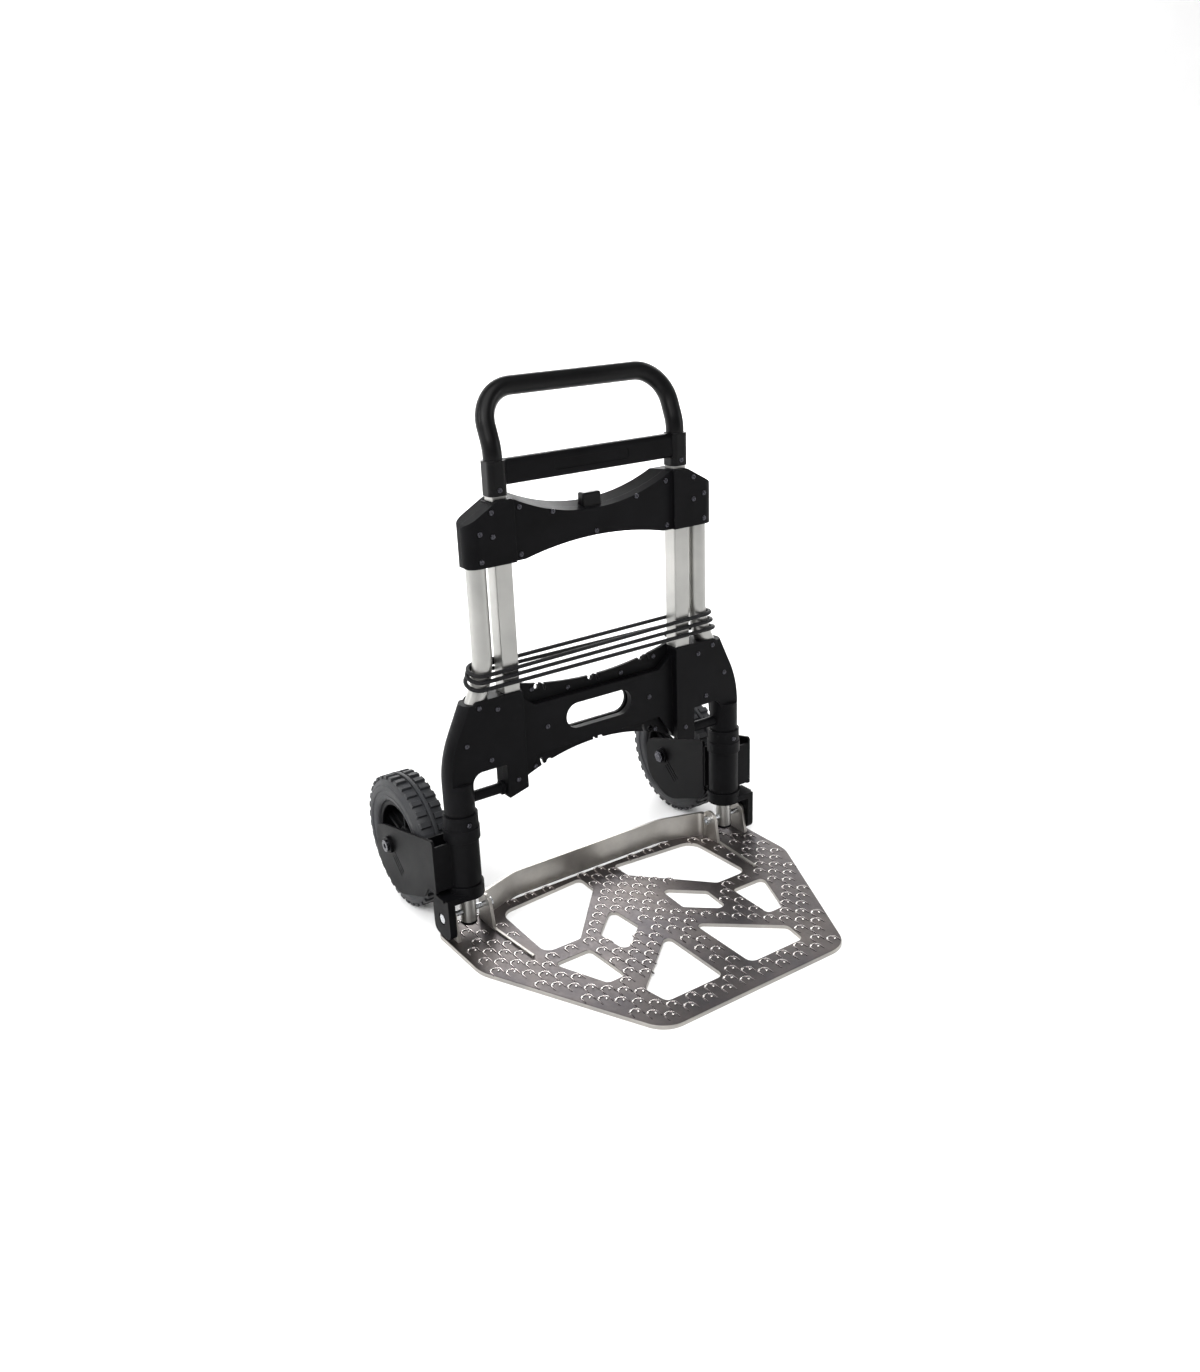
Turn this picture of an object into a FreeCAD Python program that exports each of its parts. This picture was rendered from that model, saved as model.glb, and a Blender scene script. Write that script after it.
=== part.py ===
import FreeCAD, Part
import os
from math import acos, atan2, cos, pi, radians, sin, sqrt, tan

# Folding two-wheel hand truck with a telescopic handle, a toe plate that folds up
# and wheel forks that swing in behind the frame.
# Millimetres.  X is to the right seen from the front, Y points to the rear, Z is up.
# The origin is on the floor, in the mid plane, under the front face of the top bracket.
# Left-hand pieces are drawn at negative X; right-hand pieces are their mirror images.

os.makedirs("parts", exist_ok=True)
V = FreeCAD.Vector

# ---------------------------------------------------------------- driving sizes
# frame layout
axis_y = 19.0            # all four uprights stand in this plane
upright_x = 187.0        # round tube, upper straight
rail_x = 150.0           # square tube
leg_x = 240.0            # round tube, lower straight and fork pivot
round_d = 28.0           # round tube outside diameter
round_wall = 2.0
square_w = 26.0          # square tube outside width
square_wall = 2.0
square_corner = 3.0
bend_radius = 140.0      # of the two bends that carry the round tube outwards
bend_angle = 25.0
bend_end_z = 242.0       # lower end of the lower bend
leg_end_z = 62.0         # lower end of the round tube

# fits
seat_gap = 0.1           # moulding round a tube it is clamped to
slide_gap = 0.3          # one profile sliding in another
run_gap = 0.05           # radial, pins and shafts that turn
free_gap = 0.5           # between bodies that pass each other

# top bracket
top_low_z = 540.0
top_height = 86.0
top_half_width = 206.5
top_depth = 40.0
top_centre_y = 6.0       # front face of the thinner middle
top_inner_x = 133.0      # where the end blocks step back to the middle
top_dip = 28.0           # of the concave upper edge
top_rise = 14.0          # of the arch below
top_shoulder = 49.5      # width of the sloping shoulder at each end
top_end_r = 17.0         # the ends are rounded about the round tubes
top_slope = 13.0         # degrees, upper edge climbs to the rear
shell_wall = 3.0

# lower bracket
low_front_y = 3.5
low_rear_y = 36.0
low_top_z = 357.0
low_block_x = 135.0      # inner face of the end blocks
low_foot_z = 209.0       # bottom of the inner foot
foot_width = 33.0
cover_d = 44.0           # sleeve round the leg
cover_low_z = 196.0
arch_top_z = 253.0
bar_front_y = 15.4
bar_low_z = 249.0
bar_top_z = 325.0
bar_depth = 10.0
hand_slot_half = 58.0
hand_slot_height = 39.0
hand_slot_z = 290.5

# hook rails for elastic cords
rail_thick = 5.0
hook_top_z = 342.0       # upper rail, lowest point of its concave edge
hook_low_z = 240.0       # lower rail, highest point of its arched edge
hook_sweep = 16.0
hook_pitch = 92.0
hook_shift = 5.0         # the slots stand off centre by this much
hook_slot_w = 4.6
hook_slot_depth = 12.0
hook_slot_lean = 2.0
finger_w = 12.0          # slot to the middle of the scoop beside it
scoop_r = 5.0

# leg furniture
collar_d = 50.0
collar_low_z = 157.5
ring_height = 18.0
ring_step = 1.2
sleeve_d = 47.0
foot_collar_top_z = 87.0
foot_collar_height = 19.0
tie_rod_z = 213.0
tie_rod_d = 16.0

# toe plate and its hinge
hinge_y = 18.0
hinge_z = 40.0
hinge_pin_d = 8.0
plate_thick = 6.0
plate_half_width = 282.0
plate_front_y = -342.0
plate_front_half = 158.0
flange_y = 60.0          # front face of the upturned rear edge
flange_thick = 4.0
flange_top_z = 46.0
lug_thick = 5.0
lug_radius = 15.0
lug_gap = 26.5           # leg axis to the inside of a lug

# forks and wheels
wheel_radius = 102.0
wheel_lift = 3.0         # the tyres clear the floor while the truck stands on its plate
wheel_offset = 16.0      # wheel centre plane outboard of the leg axis
tyre_width = 52.0
rim_radius = 64.0
hub_radius = 17.0
axle_d = 12.0
fork_inner_width = 62.0
fork_wall = 4.0
groove_w = 2.4           # three slanted grooves in each cheek
groove_length = 34.0
groove_pitch = 6.0
groove_slant = 42.0
groove_depth = 0.8

# handle
handle_wall = 1.8
handle_low_z = 240.0
handle_travel = 305.0
grip_d = 26.0
grip_top_z = 764.0       # centre line of the grip bar
grip_lean = 30.0         # the grip bar stands this far behind its legs
grip_corner = 50.0
leg_sleeve_w = 28.0
leg_sleeve_low_z = 630.0
leg_sleeve_top_z = 690.0
crossbar_z = 659.0
crossbar_height = 34.0
crossbar_depth = 20.0

# release mechanism
lock_z = 580.0
lock_d = 8.0
release_stroke = 5.0
lock_pin_d = 4.0
lock_pin_x = 10.0
button_w = 30.0
button_depth = 16.0
button_top_z = 613.0

# elastic cord
cord_d = 6.0
cord_z = 380.0           # middle winding
cord_pitch = 9.5
cord_gap = 0.6           # between the cord and what it passes
cord_end_x = rail_x - 8.0

screw_head_d = 7.0
screw_d = 3.5

# ---------------------------------------------------------------- worked-out sizes
top_z = top_low_z + top_height
round_r = round_d / 2
round_bore = round_d - 2 * round_wall
square_bore = square_w - 2 * square_wall
handle_square = square_bore - 2 * slide_gap      # inner profile of the telescope
cover_r = cover_d / 2
collar_r = collar_d / 2
axle_z = wheel_radius + wheel_lift
fork_reach = leg_x - wheel_radius - 1.0      # so that the folded wheels just miss each other
axle_y = axis_y + fork_reach
wheel_x = leg_x + wheel_offset
fork_out = wheel_offset + fork_inner_width / 2   # leg axis to the inside of the outer cheek
fork_in = fork_inner_width / 2 - wheel_offset    # leg axis to the inside of the inner cheek
foot_outer_x = low_block_x + foot_width
bar_back_y = bar_front_y + bar_depth
hook_y = bar_back_y + 0.4
flange_back_y = flange_y + flange_thick
hand_slot_r = hand_slot_height / 2
square_top_z = top_z - 14.0
square_low_z = low_foot_z + 6.0
round_top_z = top_z - 36.0


# ---------------------------------------------------------------- drawing helpers
def place(plane, u, v, w):
    """A point from its flat coordinates: front = XZ, side = YZ, plan = XY."""
    if plane == "front":
        return V(u, w, v)
    if plane == "side":
        return V(w, u, v)
    return V(u, v, w)


def normal(plane, length):
    return place(plane, 0, 0, length)


def loop(points, plane, level):
    """Closed outline from (u, v, corner radius) points."""
    flat = [V(p[0], p[1], 0) for p in points]
    ends = []
    for i, here in enumerate(flat):
        radius = points[i][2]
        if radius == 0:
            ends.append((here, None, here))
            continue
        before = (flat[i - 1] - here).normalize()
        after = (flat[(i + 1) % len(flat)] - here).normalize()
        half = acos(max(-1, min(1, before.dot(after)))) / 2
        reach = radius / tan(half)
        centre = here + (before + after).normalize() * (radius / sin(half))
        middle = centre + (here - centre).normalize() * radius
        ends.append((here + before * reach, middle, here + after * reach))
    edges = []
    for i, (start, middle, stop) in enumerate(ends):
        if middle is not None:
            spots = [place(plane, q.x, q.y, level) for q in (start, middle, stop)]
            edges.append(Part.Arc(*spots).toShape())
        follow = ends[(i + 1) % len(ends)][0]
        if (follow - stop).Length > 1e-6:
            a = place(plane, stop.x, stop.y, level)
            b = place(plane, follow.x, follow.y, level)
            edges.append(Part.LineSegment(a, b).toShape())
    return Part.Wire(edges)


def slab(points, plane, low, high):
    """Outline pulled from one level to another."""
    face = Part.Face(loop(points, plane, low))
    return face.extrude(normal(plane, high - low))


def box(x0, x1, y0, y1, z0, z1):
    return Part.makeBox(x1 - x0, y1 - y0, z1 - z0, V(x0, y0, z0))


def rod(x, y, z, direction, radius, length):
    return Part.makeCylinder(radius, length, V(x, y, z), direction)


def across(x0, x1, y, z, radius):
    return rod(x0, y, z, V(1, 0, 0), radius, x1 - x0)


def along(x, y0, y1, z, radius):
    return rod(x, y0, z, V(0, 1, 0), radius, y1 - y0)


def upright(x, y, z0, z1, radius):
    return rod(x, y, z0, V(0, 0, 1), radius, z1 - z0)


def mirror(shape):
    return shape.mirror(V(0, 0, 0), V(1, 0, 0))


def both(shape):
    return [shape, mirror(shape)]


def fuse(shapes):
    result = shapes[0]
    if len(shapes) > 1:
        result = result.multiFuse(shapes[1:])
    return result.removeSplitter()


def square_post(x, width, z0, z1, corner):
    """Upright bar of rounded square section."""
    h = width / 2
    points = [(x - h, axis_y - h, corner), (x + h, axis_y - h, corner),
              (x + h, axis_y + h, corner), (x - h, axis_y + h, corner)]
    return slab(points, "plan", z0, z1)


def swept(edges, radius):
    """Round bar along a chain of lines and tangent arcs."""
    path = Part.Wire(edges)
    start = edges[0].valueAt(edges[0].FirstParameter)
    heading = edges[0].tangentAt(edges[0].FirstParameter)
    profile = Part.Wire(Part.makeCircle(radius, start, heading))
    return path.makePipeShell([profile], True, True)


def line(a, b):
    return Part.LineSegment(a, b).toShape()


def arc(a, b, c):
    return Part.Arc(a, b, c).toShape()


def save(name, shape):
    shapes = shape if isinstance(shape, list) else [shape]
    solids = []
    for item in shapes:
        solids.extend(item.Solids)
    result = solids[0] if len(solids) == 1 else Part.makeCompound(solids)
    result.exportStep("parts/" + name + ".step")


def save_pair(name, left):
    save(name + "_left", left)
    save(name + "_right", mirror(left))


def screw(x, y, z, length):
    """Cap screw driven to the rear, head proud of the surface at y."""
    head = along(x, y - 1.6, y + 0.8, z, screw_head_d / 2)
    socket = along(x, y - 1.7, y - 0.2, z, 1.7)
    shank = along(x, y + 0.8, y + length, z, screw_d / 2)
    return fuse([head, shank]).cut(socket)


def screw_hole(x, y, z, length):
    seat = along(x, y - 3, y + 0.8, z, screw_head_d / 2 + seat_gap)
    shank = along(x, y, y + length + 0.3, z, screw_d / 2 + seat_gap)
    return seat.fuse(shank)


def coil(centre, heading, radius, wire, length, turns):
    """Helical spring, drawn at its pressed length."""
    pitch = length / turns
    helix = Part.makeHelix(pitch, length, radius)
    section = Part.Wire(Part.makeCircle(wire / 2, V(radius, 0, 0), V(0, 1, pitch / (2 * pi * radius))))
    spring = Part.Wire(helix.Edges).makePipeShell([section], True, True)
    turn = FreeCAD.Rotation(V(0, 0, 1), heading)
    spring.Placement = FreeCAD.Placement(centre, turn)
    return spring


# ---------------------------------------------------------------- frame tubes
bend_shift = leg_x - upright_x
bend_run = (bend_shift - 2 * bend_radius * (1 - cos(radians(bend_angle)))) / sin(radians(bend_angle))
bend_height = 2 * bend_radius * sin(radians(bend_angle)) + bend_run * cos(radians(bend_angle))
bend_start_z = bend_end_z + bend_height


def bend_point(kind, angle):
    """Point on the upper or lower bend of the left tube."""
    drop = bend_radius * sin(radians(angle))
    shift = bend_radius * (1 - cos(radians(angle)))
    if kind == "upper":
        return V(-upright_x - shift, axis_y, bend_start_z - drop)
    return V(-leg_x + shift, axis_y, bend_end_z + drop)


def round_path(low_z, high_z):
    """Centre line of the left round tube from the foot up, or the part asked for."""
    low_end = V(-leg_x, axis_y, low_z)
    high_end = V(-upright_x, axis_y, high_z)
    a, b, c = (bend_point("lower", n * bend_angle) for n in (0, 0.5, 1))
    d, e, f = (bend_point("upper", n * bend_angle) for n in (1, 0.5, 0))
    return [line(low_end, a), arc(a, b, c), line(c, d), arc(d, e, f), line(f, high_end)]


def tube_x(z):
    """Distance of the round tube's centre line from the mid plane at height z."""
    if z >= bend_start_z:
        return upright_x
    if z <= bend_end_z:
        return leg_x
    drop = bend_start_z - z
    rise = z - bend_end_z
    arc_height = bend_radius * sin(radians(bend_angle))
    if drop <= arc_height:
        return upright_x + bend_radius - sqrt(bend_radius ** 2 - drop ** 2)
    if rise <= arc_height:
        return leg_x - bend_radius + sqrt(bend_radius ** 2 - rise ** 2)
    arc_shift = bend_radius * (1 - cos(radians(bend_angle)))
    return upright_x + arc_shift + (drop - arc_height) * tan(radians(bend_angle))


# screws of the left half: distance from the mid plane, height, and face they sit on
top_screws = [
    (122.0, top_low_z + 72.0, top_centre_y),
    (70.0, top_low_z + 58.0, top_centre_y),
    (123.0, top_low_z + 8.0, top_centre_y),
    (168.0, top_low_z + 72.0, 0.0),
    (168.0, top_low_z + 40.0, 0.0),
    (upright_x, top_low_z + 46.0, 0.0),
    (upright_x, top_low_z + 9.0, 0.0),
]
low_screws = [
    (tube_x(347.0), 347.0, low_front_y),
    (177.0, 339.0, low_front_y),
    (tube_x(297.0), 297.0, low_front_y),
    (192.0, 267.0, low_front_y),
    (91.0, hand_slot_z - 4.0, bar_front_y),
    (rail_x + 1.0, low_foot_z + 16.0, low_front_y),
]
top_screw_length = top_depth - 7.0
low_screw_length = low_rear_y - low_front_y - 3.0


def top_screw_places():
    places = []
    for x, z, y in top_screws:
        places.append((-x, y, z, top_screw_length - y))
        places.append((x, y, z, top_screw_length - y))
    places.append((0.0, top_centre_y, top_low_z + top_rise + 6.0, top_screw_length - top_centre_y))
    return places


def low_screw_places():
    places = []
    for x, z, y in low_screws:
        length = low_front_y + low_screw_length - y
        places.append((-x, y, z, length))
        places.append((x, y, z, length))
    return places


def drilled(shape, places):
    return shape.cut([screw_hole(*spot) for spot in places])


lock_hole = across(-rail_x, -rail_x + square_w, axis_y, lock_z, lock_d / 2 + slide_gap)

round_outer = swept(round_path(leg_end_z, round_top_z), round_r)
round_inner = swept(round_path(leg_end_z - 1, round_top_z + 1), round_bore / 2)
round_tube = drilled(round_outer.cut(round_inner), top_screw_places() + low_screw_places())

square_outer = square_post(-rail_x, square_w, square_low_z, square_top_z, square_corner)
bore_corner = square_corner - square_wall
square_hole = square_post(-rail_x, square_bore, square_low_z - 1, square_top_z + 1, bore_corner)
square_tube = square_outer.cut(square_hole).cut(lock_hole)
square_tube = drilled(square_tube, low_screw_places())

save_pair("round_tube", round_tube)
save_pair("square_tube", square_tube)


# ---------------------------------------------------------------- top bracket
def top_block():
    """Both end blocks and the waisted middle, before it is split and hollowed."""
    w = top_half_width
    r = top_end_r
    shoulder_x = w - top_shoulder
    shoulder_z = top_z - top_shoulder * 0.575
    ends = [(-w, top_low_z, 3), (w, top_low_z, 3), (w, shoulder_z, 7), (shoulder_x, top_z, 7),
            (-shoulder_x, top_z, 7), (-w, shoulder_z, 7)]
    plan = [(-w, 0, r), (w, 0, r), (w, top_depth, r), (-w, top_depth, r)]
    block = slab(ends, "front", 0, top_depth).common(slab(plan, "plan", top_low_z - 1, top_z + 1))
    middle_front = box(-top_inner_x, top_inner_x, -1, top_centre_y, top_low_z - 1, top_z + 1)
    half = top_inner_x - 9
    dip_r = (half ** 2 + top_dip ** 2) / (2 * top_dip)
    scoop = rod(0, -60, top_z - top_dip + dip_r - 60 * tan(radians(top_slope)),
                V(0, cos(radians(top_slope)), sin(radians(top_slope))), dip_r, 200)
    arch_half = top_inner_x - 17
    arch_r = (arch_half ** 2 + top_rise ** 2) / (2 * top_rise)
    arch = along(0, -1, top_depth + 1, top_low_z + top_rise - arch_r, arch_r)
    return block.cut([middle_front, scoop, arch])


def post_pockets(low_z, high_z):
    pocket = square_post(-rail_x, square_w + 2 * seat_gap, low_z, high_z, square_corner + seat_gap)
    return both(pocket)


top_body = top_block()
# tube sockets, the mouth for the telescope and its bush
bush_w = square_w + 4.0
bush_corner = square_corner + 1.0
bush_low_z = square_top_z + 0.2
bush_top_z = top_z - 3.0
mouth_w = handle_square + 2 * slide_gap + 0.4
cuts = post_pockets(top_low_z - 1, square_top_z + 0.2)
cuts += both(upright(-upright_x, axis_y, top_low_z - 1, round_top_z + 0.2, round_r + seat_gap))
bush_seat_w = bush_w + 2 * seat_gap
cuts += both(square_post(-rail_x, bush_seat_w, bush_low_z, bush_top_z + 0.1, bush_corner + seat_gap))
cuts += both(square_post(-rail_x, mouth_w, bush_low_z, top_z + 1, 1.5))
# room for the release mechanism, with ribs that carry the lock bolts
room_low_z = lock_z - 22.0
room_top_z = top_z - top_dip - 6.0
room_half = top_inner_x - 21.0
rib_x = 60.0
rib_thick = 3.0
room = box(-room_half, room_half, top_centre_y + shell_wall, top_depth - shell_wall, room_low_z, room_top_z)
room = room.cut([along(x, -1, top_depth + 1, z, screw_d + 1.5) for x, y, z, n in top_screw_places()])
for side in (-1, 1):
    start = side * rib_x - rib_thick / 2
    rib = box(start, start + rib_thick, 0, top_depth, room_low_z, room_top_z)
    room = room.cut(rib)
cuts.append(room)
cuts.append(across(-rail_x, rail_x, axis_y, lock_z, lock_d / 2 + slide_gap))
button_y = axis_y + 2.0
hole_x = button_w / 2 + slide_gap
hole_y = button_depth / 2 + slide_gap
button_hole = box(-hole_x, hole_x, button_y - hole_y, button_y + hole_y, room_top_z - 1, top_z)
cuts.append(button_hole)
top_body = drilled(top_body.cut(cuts), top_screw_places())
front_half = box(-400, 400, -50, axis_y, 0, 900)
rear_half = box(-400, 400, axis_y, 150, 0, 900)
save("top_bracket_front", top_body.common(front_half))
save("top_bracket_rear", top_body.common(rear_half))
save("top_bracket_screws", [screw(*spot) for spot in top_screw_places()])

bush = square_post(-rail_x, bush_w, bush_low_z + 0.1, bush_top_z, bush_corner)
bush = bush.cut(square_post(-rail_x, handle_square + 0.4, bush_low_z - 1, bush_top_z + 1, 1.5))
save_pair("telescope_bush", bush)


# ---------------------------------------------------------------- lower bracket
def low_block():
    """Left end block with its foot and the sleeve down the leg."""
    knee = bend_end_z + 30.0
    outline = [(-low_block_x, low_foot_z, 2), (-low_block_x, low_top_z, 3),
               (-tube_x(low_top_z) - 10, low_top_z, 6), (-tube_x(knee) - 4, knee, 60),
               (-leg_x, arch_top_z - 30, 0), (-leg_x + cover_r - 6, arch_top_z - 30, 0),
               (-leg_x + cover_r - 4, arch_top_z, 16), (-foot_outer_x, arch_top_z, 3),
               (-foot_outer_x, low_foot_z - 9, 2)]
    block = slab(outline, "front", low_front_y, low_rear_y)
    sleeve = swept(round_path(cover_low_z, low_top_z + 80), cover_r)
    lower = sleeve.common(box(-400, 0, -50, 100, cover_low_z, bend_end_z))
    upper = sleeve.common(box(-400, 0, low_front_y, low_rear_y, bend_end_z - 1, low_top_z - 4))
    return fuse([block, lower, upper])


def low_bar():
    """Middle bar with the hand slot, front and rear walls in one."""
    x = low_block_x + 1
    bar = box(-x, x, bar_front_y, low_rear_y, bar_low_z, bar_top_z)
    ends = []
    for side in (-1, 1):
        u = side * low_block_x
        v = side * (low_block_x - 26)
        ends.append(slab([(u, bar_low_z - 38, 0), (u, bar_top_z + 20, 0), (v, bar_top_z - 1, 0),
                          (v, bar_low_z + 1, 0)], "front", bar_front_y, low_rear_y))
    return fuse([bar] + ends)


def hand_slot(grow, y0, y1):
    r = hand_slot_r + grow
    half = hand_slot_half - hand_slot_r
    middle = box(-half, half, y0, y1, hand_slot_z - r, hand_slot_z + r)
    ends = [along(side * half, y0, y1, hand_slot_z, r) for side in (-1, 1)]
    return fuse([middle] + ends)


def bow(extreme_z, half, sweep, side):
    """Radius and centre height of a curved edge that moves by sweep over its half width."""
    radius = (half ** 2 + sweep ** 2) / (2 * sweep)
    return radius, extreme_z + side * radius


def hook_notch(spot, edge_z, way):
    """Narrow slanted slot that opens at the edge; way is -1 down into the upper rail."""
    half = hook_slot_w / 2
    deep = edge_z + way * hook_slot_depth
    out = edge_z - way * 20
    lean = way * hook_slot_lean
    return [(spot - half - lean, deep, half - 0.2), (spot + half - lean, deep, half - 0.2),
            (spot + half + lean * 3, out, 0), (spot - half + lean * 3, out, 0)]


def hook_strip(inset, y0, y1):
    """Upper rail, its edge curved and slotted for cords."""
    x = low_block_x - 1.0 - inset
    low = hand_slot_z + hand_slot_r + 4.0
    strip = box(-x, x, y0, y1, low, hook_top_z + hook_sweep + 2)
    radius, centre_z = bow(hook_top_z - inset, low_block_x - 10, hook_sweep, 1)
    tools = [along(0, y0 - 1, y1 + 1, centre_z, radius)]
    for n in (-1, 0, 1):
        spot = n * hook_pitch + hook_shift
        edge_z = centre_z - sqrt(radius ** 2 - spot ** 2)
        tools.append(slab(hook_notch(spot, edge_z, -1), "front", y0 - 1, y1 + 1))
        tools.append(along(spot - finger_w, y0 - 1, y1 + 1, edge_z - 2, scoop_r))
    return strip.cut(tools)


def hook_strip_low(inset, y0, y1):
    """Lower rail, arched edge and slots facing down."""
    x = low_block_x - 1.0 - inset
    high = hand_slot_z - hand_slot_r - 4.0
    strip = box(-x, x, y0, y1, low_foot_z + 2, high)
    sweep = hook_sweep * 1.6
    radius, centre_z = bow(hook_low_z + inset, low_block_x - 10, sweep, -1)
    tools = [along(0, y0 - 1, y1 + 1, centre_z, radius)]
    for n in (-1, 0, 1):
        spot = n * hook_pitch - hook_shift
        edge_z = centre_z + sqrt(radius ** 2 - spot ** 2)
        tools.append(slab(hook_notch(spot, edge_z, 1), "front", y0 - 1, y1 + 1))
        tools.append(along(spot + finger_w, y0 - 1, y1 + 1, edge_z + 2, scoop_r))
    return strip.cut(tools)


hook_screw_spots = [(108.0, hook_top_z + 3.0), (47.0, hook_top_z - 9.0),
                    (109.0, hook_low_z - 14.0), (47.0, hook_low_z + 7.0)]


def hook_screw_places():
    places = []
    for x, z in hook_screw_spots:
        places.append((-x, hook_y, z, low_rear_y - hook_y - 1.0))
        places.append((x, hook_y, z, low_rear_y - hook_y - 1.0))
    return places


low_body = fuse(both(low_block()) + [low_bar()])
# the rails lie in a gap between the front wall and a rear wall that follows their edge
backing_y = hook_y + rail_thick + 0.2
backing = [hook_strip(4.0, backing_y, low_rear_y), hook_strip_low(4.0, backing_y, low_rear_y)]
rail_room = box(-low_block_x, low_block_x, bar_back_y, backing_y, low_foot_z - 20, hook_top_z + 40)
room_x = low_block_x - 6
middle_room = box(-room_x, room_x, bar_front_y + shell_wall, backing_y, bar_low_z + 4, bar_top_z - 4)
middle_room = middle_room.cut(hand_slot(3.0, 0, 60))
middle_room = middle_room.cut([along(x, 0, 60, z, screw_d + 1.5) for x, y, z, n in low_screw_places()])
low_body = fuse([low_body.cut([rail_room, middle_room])] + backing)
tube_room = swept(round_path(cover_low_z - 1, low_top_z + 80), round_r + seat_gap)
cuts = both(tube_room) + post_pockets(square_low_z - 0.2, low_top_z + 1)
cuts.append(hand_slot(0, 0, 60))
cheek = [(-foot_outer_x, arch_top_z + 22, 3), (-foot_outer_x, low_top_z - 26, 3),
         (-foot_outer_x - 14, low_top_z - 26, 3), (-foot_outer_x - 20, arch_top_z + 22, 3)]
block_room = slab(cheek, "front", low_front_y + shell_wall, low_rear_y - shell_wall)
block_room = block_room.cut([along(x, 0, 60, z, screw_d + 1.5) for x, y, z, n in low_screw_places()])
cuts += both(block_room)
tie_reach = leg_x - round_r - 3.0
tie_seat_x = rail_x + square_w / 2 + 0.6       # inner end of the rod, clear of the square tube
cuts += both(across(-tie_reach, -tie_seat_x, axis_y, tie_rod_z, tie_rod_d / 2 + seat_gap))
low_body = drilled(low_body.cut(cuts), low_screw_places() + hook_screw_places())
middle_x = low_block_x - 0.5
middle_front = box(-middle_x, middle_x, 0, bar_back_y + 0.2, low_foot_z - 20, hook_top_z + 40)
save("lower_bracket_front", low_body.common(front_half.fuse(middle_front)))
save("lower_bracket_rear", low_body.common(rear_half.cut(middle_front)))
save("lower_bracket_screws", [screw(*spot) for spot in low_screw_places()])

rail_back_y = hook_y + rail_thick
save("hook_rail_upper", drilled(hook_strip(0, hook_y, rail_back_y), hook_screw_places()))
save("hook_rail_lower", drilled(hook_strip_low(0, hook_y, rail_back_y), hook_screw_places()))
save("hook_rail_screws", [screw(*spot) for spot in hook_screw_places()])

tie_rod = across(-tie_reach + 0.1, -tie_seat_x - 0.1, axis_y, tie_rod_z, tie_rod_d / 2)
tie_ring = across(-foot_outer_x - 5, -foot_outer_x - 0.1, axis_y, tie_rod_z, tie_rod_d / 2 + 2.5)
save_pair("tie_rod", fuse([tie_rod, tie_ring]))


# ---------------------------------------------------------------- leg ends
collar_screw_y = axis_y - collar_r
ring_r = collar_r + ring_step
collar_top_z = cover_low_z - 0.2
collar = fuse([upright(-leg_x, axis_y, collar_low_z, collar_top_z, collar_r),
               upright(-leg_x, axis_y, collar_low_z, collar_low_z + ring_height, ring_r)])
collar = collar.cut(upright(-leg_x, axis_y, collar_low_z - 1, cover_low_z + 1, round_r + seat_gap))
collar_screw_place = (-leg_x, collar_screw_y, cover_low_z - 12.0, 9.5)
save_pair("leg_collar", collar.cut(screw_hole(*collar_screw_place)))
save("collar_screws", both(screw(*collar_screw_place)))

# the spigot is pressed into the round tube and carries the toe plate's hinge pin
spigot_top_z = leg_end_z + 60.0
spigot_low_z = hinge_z - 16.0
spigot = upright(-leg_x, axis_y, spigot_low_z, spigot_top_z, round_bore / 2)
spigot = spigot.cut(upright(-leg_x, axis_y, spigot_low_z - 1, spigot_top_z + 1, round_bore / 2 - 3))
pin_hole = across(-leg_x - 80, -leg_x + 80, hinge_y, hinge_z, hinge_pin_d / 2 + seat_gap / 2)
save_pair("leg_spigot", spigot.cut(pin_hole))
plug_top_z = hinge_z - hinge_pin_d / 2 - 2.0
plug = upright(-leg_x, axis_y, spigot_low_z, plug_top_z, round_bore / 2 - 3)
plug = fuse([plug, upright(-leg_x, axis_y, spigot_low_z - 4, spigot_low_z, round_bore / 2)])
save_pair("leg_plug", plug)

# collar at the foot with a cheek outboard of the plate's outer lug
foot_collar_low_z = foot_collar_top_z - foot_collar_height
cheek_x0 = leg_x + lug_gap + lug_thick + free_gap
cheek_x1 = cheek_x0 + 11.0
foot_collar = upright(-leg_x, axis_y, foot_collar_low_z, foot_collar_top_z, collar_r + 1)
arm = box(-cheek_x1, -leg_x, axis_y - 24, axis_y + 18, foot_collar_low_z, foot_collar_low_z + 9)
arm_top_z = foot_collar_low_z + 9
cheek_outline = [(axis_y - 24, 12, 12), (axis_y + 24, 12, 12), (axis_y + 24, 52, 8),
                 (axis_y + 16, arm_top_z, 4), (axis_y - 24, arm_top_z, 4)]
cheek = slab(cheek_outline, "side", -cheek_x1, -cheek_x0)
tab = box(-cheek_x1 - 3, -cheek_x1 + 3, axis_y - 16, axis_y + 8, foot_collar_low_z + 5, foot_collar_low_z + 9)
foot_collar = fuse([foot_collar, arm, cheek, tab])
foot_collar = foot_collar.cut([
    upright(-leg_x, axis_y, foot_collar_low_z - 1, foot_collar_top_z + 1, round_r + seat_gap),
    across(-cheek_x1 - 1, -cheek_x1 + 5, hinge_y, hinge_z, 9.0),
    pin_hole])
save_pair("foot_collar", foot_collar)

# hinge pin: bolt from the inner lug through the leg to the cheek, with a nut in the cheek's recess
lug_in_x = leg_x - lug_gap - lug_thick
head = across(-lug_in_x + 0.4, -lug_in_x + 6.4, hinge_y, hinge_z, hinge_pin_d * 0.8)
head = head.cut(across(-lug_in_x + 3.4, -lug_in_x + 7, hinge_y, hinge_z, 3.0))
shaft = across(-cheek_x1 + 0.4, -lug_in_x + 0.4, hinge_y, hinge_z, hinge_pin_d / 2)
save_pair("hinge_pin", fuse([head, shaft]))


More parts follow.
